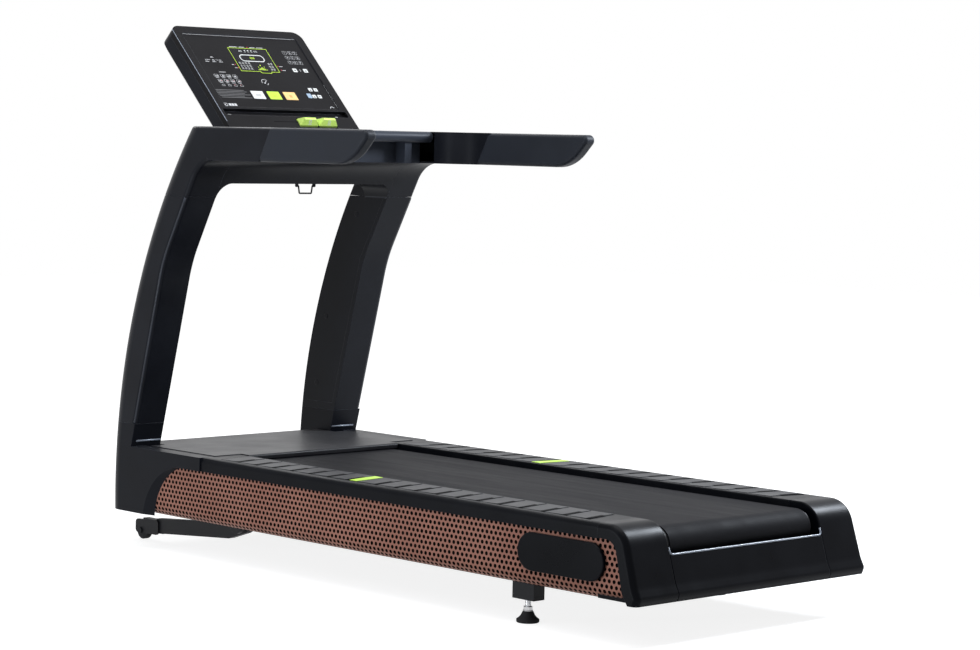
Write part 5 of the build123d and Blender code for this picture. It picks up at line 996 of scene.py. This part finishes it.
def keypad():
    """Number keys of the overlay with plain numerals, and the two white keys below them."""
    lines = Print()
    for number in range(9):
        row, column = divmod(number, 3)
        x = KEYPAD_LEFT + KEYPAD_STEPS[0] * column
        down = KEYPAD_TOP + KEYPAD_STEPS[1] * row
        lines.frame(x, down, 16, 14, 0.7, 2.5)
        lines.digits(str(number + 1), x, down, 11.5)
    lines.digits("0", KEYPAD_LEFT + KEYPAD_STEPS[0], KEYPAD_LAST_ROW, 12)
    lines.done("keypad_numerals", "white_ink")
    white = Print()
    for x in PALE_KEYS:
        white.shape(rounded(x, KEYPAD_LAST_ROW, 17, 16, 2))
    white.done("keypad_white_keys", "white")
    dark = Print(OVERLAY_DEPTH - INK)
    back, enter = PALE_KEYS
    dark.shape([
        (back - 4, KEYPAD_LAST_ROW), (back + 3, KEYPAD_LAST_ROW + 4), (back + 3, KEYPAD_LAST_ROW - 4),
    ])
    dark.bar(enter, KEYPAD_LAST_ROW, 8, 2)
    dark.bar(enter, KEYPAD_LAST_ROW + 4, 8, 1.4)
    dark.done("keypad_key_signs", "dark", "black_cover")


LARGE_KEY_SIGN = 17  # middle of the sign below the key's top edge, in mm
SMALL_KEY_SIGN = 7


def sign_on(node, middle):
    """A print for a moving key, with the x and the down of its sign."""
    low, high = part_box(node)
    down = (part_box("console_face")[1].z - high.z) / MM / FACE_SLOPE + middle
    return Print(KEY_DEPTH), (low.x + high.x) / 2 / MM, down


def key_signs():
    """Signs on the moving keys: bars, a triangle, a square and arrows."""
    sign, x, down = sign_on("key_white", LARGE_KEY_SIGN)
    for shift in (-2.5, 2.5):
        sign.bar(x, down + shift, 20, 1.6)
    sign.done("key_sign_white", "grey_ink", "black_cover", "key_white")
    sign, x, down = sign_on("key_lime", LARGE_KEY_SIGN)
    sign.shape([(x - 5, down + 7), (x + 8, down), (x - 5, down - 7)])
    sign.done("key_sign_lime", "lime_print", "black_cover", "key_lime")
    sign, x, down = sign_on("key_amber", LARGE_KEY_SIGN)
    sign.bar(x, down, 11, 11)
    sign.done("key_sign_amber", "amber_ink", "black_cover", "key_amber")
    for number, node in enumerate(NAV_KEYS, 1):
        sign, x, down = sign_on(node, SMALL_KEY_SIGN)
        flip = 1 if number % 2 else -1
        sign.shape([(x - 3.5, down + 3 * flip), (x + 3.5, down + 3 * flip), (x, down - 3 * flip)][::flip])
        sign.done(f"nav_sign_{number}", "dark", "black_cover", node)


PORT_ROW = 341
PORT_SOCKET = -224
PORT_BUTTONS = (-205, -194, -183)
LEDGE_SLOTS = ((-20, 412, 104, 2.6), (40, 418, 34, 1.6))


def lower_console():
    """Port signs, clip marks, and the long dark slot below the overlay's keys as painted shade of a recess.
    """
    signs = Print()
    signs.frame(PORT_SOCKET, PORT_ROW, 20, 13, 1.6, 5)
    signs.disc(PORT_SOCKET, PORT_ROW, 2.6)
    for x in PORT_BUTTONS:
        signs.bar(x, PORT_ROW, 9, 10)
    signs.arc(206, 345, 9, 2.2, 20, 175)
    signs.done("port_signs", "white_ink")
    clips = Print(GROOVE_DEPTH)
    clips.bar(-219, 376, 13, 6)
    clips.arc(212, 378, 7, 2.4, 10, 170)
    clips.done("groove_clips", "white")
    # dark slot: painted shade of a recess
    slot = Print(0)
    for line in LEDGE_SLOTS:
        slot.bar(*line)
    slot.done("ledge_slot_shade", "dark", "black_cover")


# ----- lips and beads of the covers, in light colours as painted highlights
LIP_RADIUS = 2.6 * MM
LIP_CORNER = 9 * MM  # bend at each end of the rear lip, up along the cheek
LIP_STEPS = 5  # in that bend
LIP_SUNK = 1 * MM  # middle of the lip behind the cover's face
CHEEK_PROBE = 2 * MM  # how far inside the cheek its face is looked up
BEAD_RADIUS = 3 * MM
BEAD_RISE = 15 * MM  # bead at an upright's foot above the deck covers
BEAD_INNER = 3 * MM  # bead's ends from the upright's inner and outer faces
BEAD_OUTER = 17 * MM
EDGE_RADIUS = 4 * MM
EDGE_INSET = 5 * MM  # middle of the rounded edge from the upright's outer face
EDGE_SUNK = 3.8 * MM
EDGE_END = 3 * MM
EDGE_STEPS = 40
TUBE_SIDES = 10
SEARCH_START = 0.1  # behind the machine


def tube(bm, points, radius):
    """Adds a round tube through the points, which never run along y."""
    rings = []
    for index, point in enumerate(points):
        before, after = points[max(index - 1, 0)], points[min(index + 1, len(points) - 1)]
        run = (Vector(after) - Vector(before)).normalized()
        across = run.cross(Vector((0, 1, 0))).normalized()
        up = run.cross(across)
        rings.append([
            bm.verts.new(Vector(point) + across * u + up * v) for u, v in circle(radius, TUBE_SIDES)
        ])
    skin(bm, rings)


def met_from_behind(name, x, z):
    """y at which a line along the running direction first meets a node."""
    body = nodes[name]
    inward = body.matrix_world.inverted()
    start = inward @ Vector((x, cad_box[0][1] - SEARCH_START, z))
    found = body.ray_cast(start, inward.to_3x3() @ Vector((0, 1, 0)))
    return (body.matrix_world @ found[1]).y


def rear_lip_highlight():
    """Rounded light grey lip along the rear cover's top edge, bent up at both cheeks: a painted highlight.
    """
    low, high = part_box("rear_center_cover")
    end_z = high.z + 2 * LIP_CORNER
    half = [(high.x, end_z)]
    for step in range(LIP_STEPS + 1):
        turn = radians(90 * step / LIP_STEPS)
        half.append((high.x - LIP_CORNER * (1 - cos(turn)), high.z + LIP_CORNER * (1 - sin(turn))))
    outline = half + [(-x, z) for x, z in reversed(half)]
    foot_y = met_from_behind("rear_center_cover", 0, high.z - PROBE)
    lean = met_from_behind("rear_corner_cap_left", low.x - CHEEK_PROBE, end_z) - foot_y
    bm = bmesh.new()
    tube(bm, [
        (x, foot_y + LIP_SUNK + lean * (z - high.z) / (end_z - high.z), z) for x, z in outline
    ], LIP_RADIUS)
    solid("rear_lip_highlight", bm, "rim", smooth=True)


def foot_highlight_bead(side, tag):
    """Rounded light grey bead across the foot of an upright's rear face: a painted highlight."""
    inner, outer = flanks(*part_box(f"upright_cover_{tag}"))
    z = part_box("motor_hood")[1].z + BEAD_RISE
    y = met_from_behind(f"front_fairing_{tag}", side * (inner + outer) / 2, z)
    bm = bmesh.new()
    tube(bm, [(side * x, y, z) for x in (inner + BEAD_INNER, outer - BEAD_OUTER)], BEAD_RADIUS)
    solid(f"foot_highlight_bead_{tag}", bm, "rim", smooth=True)


def edge_highlight_bead(side, tag):
    """Slim bead, lighter than the covers, along the rounded rear edge of an upright, on its outer side: a
    painted highlight.
    """
    cover = f"upright_cover_{tag}"
    low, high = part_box(cover)
    x = side * (flanks(low, high)[1] - EDGE_INSET)
    span = high.z - low.z - 2 * EDGE_END
    heights = [low.z + EDGE_END + span * step / EDGE_STEPS for step in range(EDGE_STEPS + 1)]
    bm = bmesh.new()
    tube(bm, [(x, met_from_behind(cover, x, z) + EDGE_SUNK, z) for z in heights], EDGE_RADIUS)
    solid(f"edge_highlight_bead_{tag}", bm, "satin", smooth=True)


# ----- marks on the paddles
FACING_REAR = -0.5  # most that the y of a rear face's normal may be


def paddle_mark(tag):
    """White ring and bar on a paddle's face towards the runner."""
    name = f"paddle_{tag}"
    mesh, place = nodes[name].data, nodes[name].matrix_world
    turned = place.to_3x3()
    rear_faces = [face for face in mesh.polygons if (turned @ face.normal).y < FACING_REAR]
    front = max(rear_faces, key=lambda face: face.area)
    corners = sorted((place @ mesh.vertices[index].co for index in front.vertices), key=lambda c: c.z)
    low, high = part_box(name)
    middle = (corners[0] + corners[-1]) / 2
    middle.x = (low.x + high.x) / 2
    mark = Print(0, middle, (turned @ front.normal).normalized())
    mark.arc(0, -3, 5.5, 2.4, 0, 360, 16)
    mark.bar(0, 5.5, 14, 2.2)
    mark.done(f"paddle_mark_{tag}", "white", "white_key", name)


# ----- studio
WORLD_LIGHT = 0.16
FLOOR_HALF = 14
FLOOR_GREY = 0.42
FLOOR_GLOW = 0.86  # near the object, where the lights add to it
GLOW_START, GLOW_END = 1.3, 3.4
COOL = (0.84, 0.91, 1.0)
LIGHTS = (  # name, place, aim, size, power, colour
    ("key", (-0.6, -0.4, 4.2), (0, 0, 0.4), (3.0, 3.6), 110, (1, 1, 1)),
    ("rear_top", (1.4, 3.6, 3.4), (0, 0.2, 0.6), (3.2, 1.6), 60, (1, 1, 1)),
    ("left_top", (-2.3, 0.3, 2.7), (-0.3, 0.5, 1.2), (0.9, 2.0), 20, (0.86, 0.93, 1.0)),
    ("left_strip", (-3.0, 0.7, 0.34), (-0.45, 0.85, 0.85), (0.35, 1.0), 30, COOL),
    ("right_top", (2.7, -1.45, 2.75), (0.1, -1.0, 0.3), (0.8, 1.4), 215, COOL),
)


def area_light(name, place, aim, size, power, colour):
    """A soft rectangular light that points at a spot."""
    data = bpy.data.lights.new(name, "AREA")
    data.shape = "RECTANGLE"
    data.size, data.size_y = size
    data.energy = power
    data.color = colour
    light = placed(name, data)
    light.location = place
    light.rotation_mode = "QUATERNION"
    light.rotation_quaternion = (Vector(aim) - Vector(place)).to_track_quat("-Z", "Y")


def shown_white(g, dim):
    """A strength of 1 for what the camera and reflections see, and dim as a light."""
    path = g.add("ShaderNodeLightPath")
    seen = path.outputs["Is Camera Ray"]
    for ray in ("Is Glossy Ray", "Is Transmission Ray"):
        seen = g.math("MAXIMUM", seen, path.outputs[ray])
    return g.spread(seen, dim, 1.0, 0.0, 1.0)


def make_world():
    """White surroundings that light the object only faintly."""
    world = bpy.data.worlds.new("studio")
    g = Tree(world)
    back = g.tree.nodes["Background"]
    back.inputs["Color"].default_value = (1, 1, 1, 1)
    g.link(shown_white(g, WORLD_LIGHT), back.inputs["Strength"])
    bpy.context.scene.world = world


def make_floor():
    """White floor that keeps a faint shadow of the object."""
    bm = bmesh.new()
    bmesh.ops.create_grid(bm, x_segments=1, y_segments=1, size=FLOOR_HALF)
    floor = placed("floor", mesh_of(bm, "floor"))
    g = Graph("studio_floor")
    for name, value in (
        ("Base Color", (FLOOR_GREY, FLOOR_GREY, FLOOR_GREY, 1)), ("Roughness", 0.9),
        ("Specular IOR Level", 0.0), ("Emission Color", (1, 1, 1, 1)),
    ):
        g.shader.inputs[name].default_value = value
    away = g.add("ShaderNodeVectorMath", operation="LENGTH")
    g.link(g.object, away.inputs[0])
    glow = g.spread(away.outputs["Value"], FLOOR_GLOW, 1.0, GLOW_START, GLOW_END)
    strength = g.math("MULTIPLY", shown_white(g, 0.0), glow)
    g.link(strength, g.shader.inputs["Emission Strength"])
    floor.data.materials.append(g.material)


bpy.context.scene.view_settings.view_transform = "Standard"
make_camera()
make_world()
make_floor()
for light in LIGHTS:
    area_light(*light)
dress_nodes()
for side, tag in SIDES:
    perforated_panel(side, tag)
    panel_shade_sheet(side, tag)
    side_treads(side, tag)
    levelling_foot(tag)
    screw_plugs(side, tag)
edge_highlight_lines()
display_graphics()
overlay_marks()
icon_groups()
keypad()
key_signs()
lower_console()
rear_lip_highlight()
for side, tag in SIDES:
    foot_highlight_bead(side, tag)
    edge_highlight_bead(side, tag)
    paddle_mark(tag)
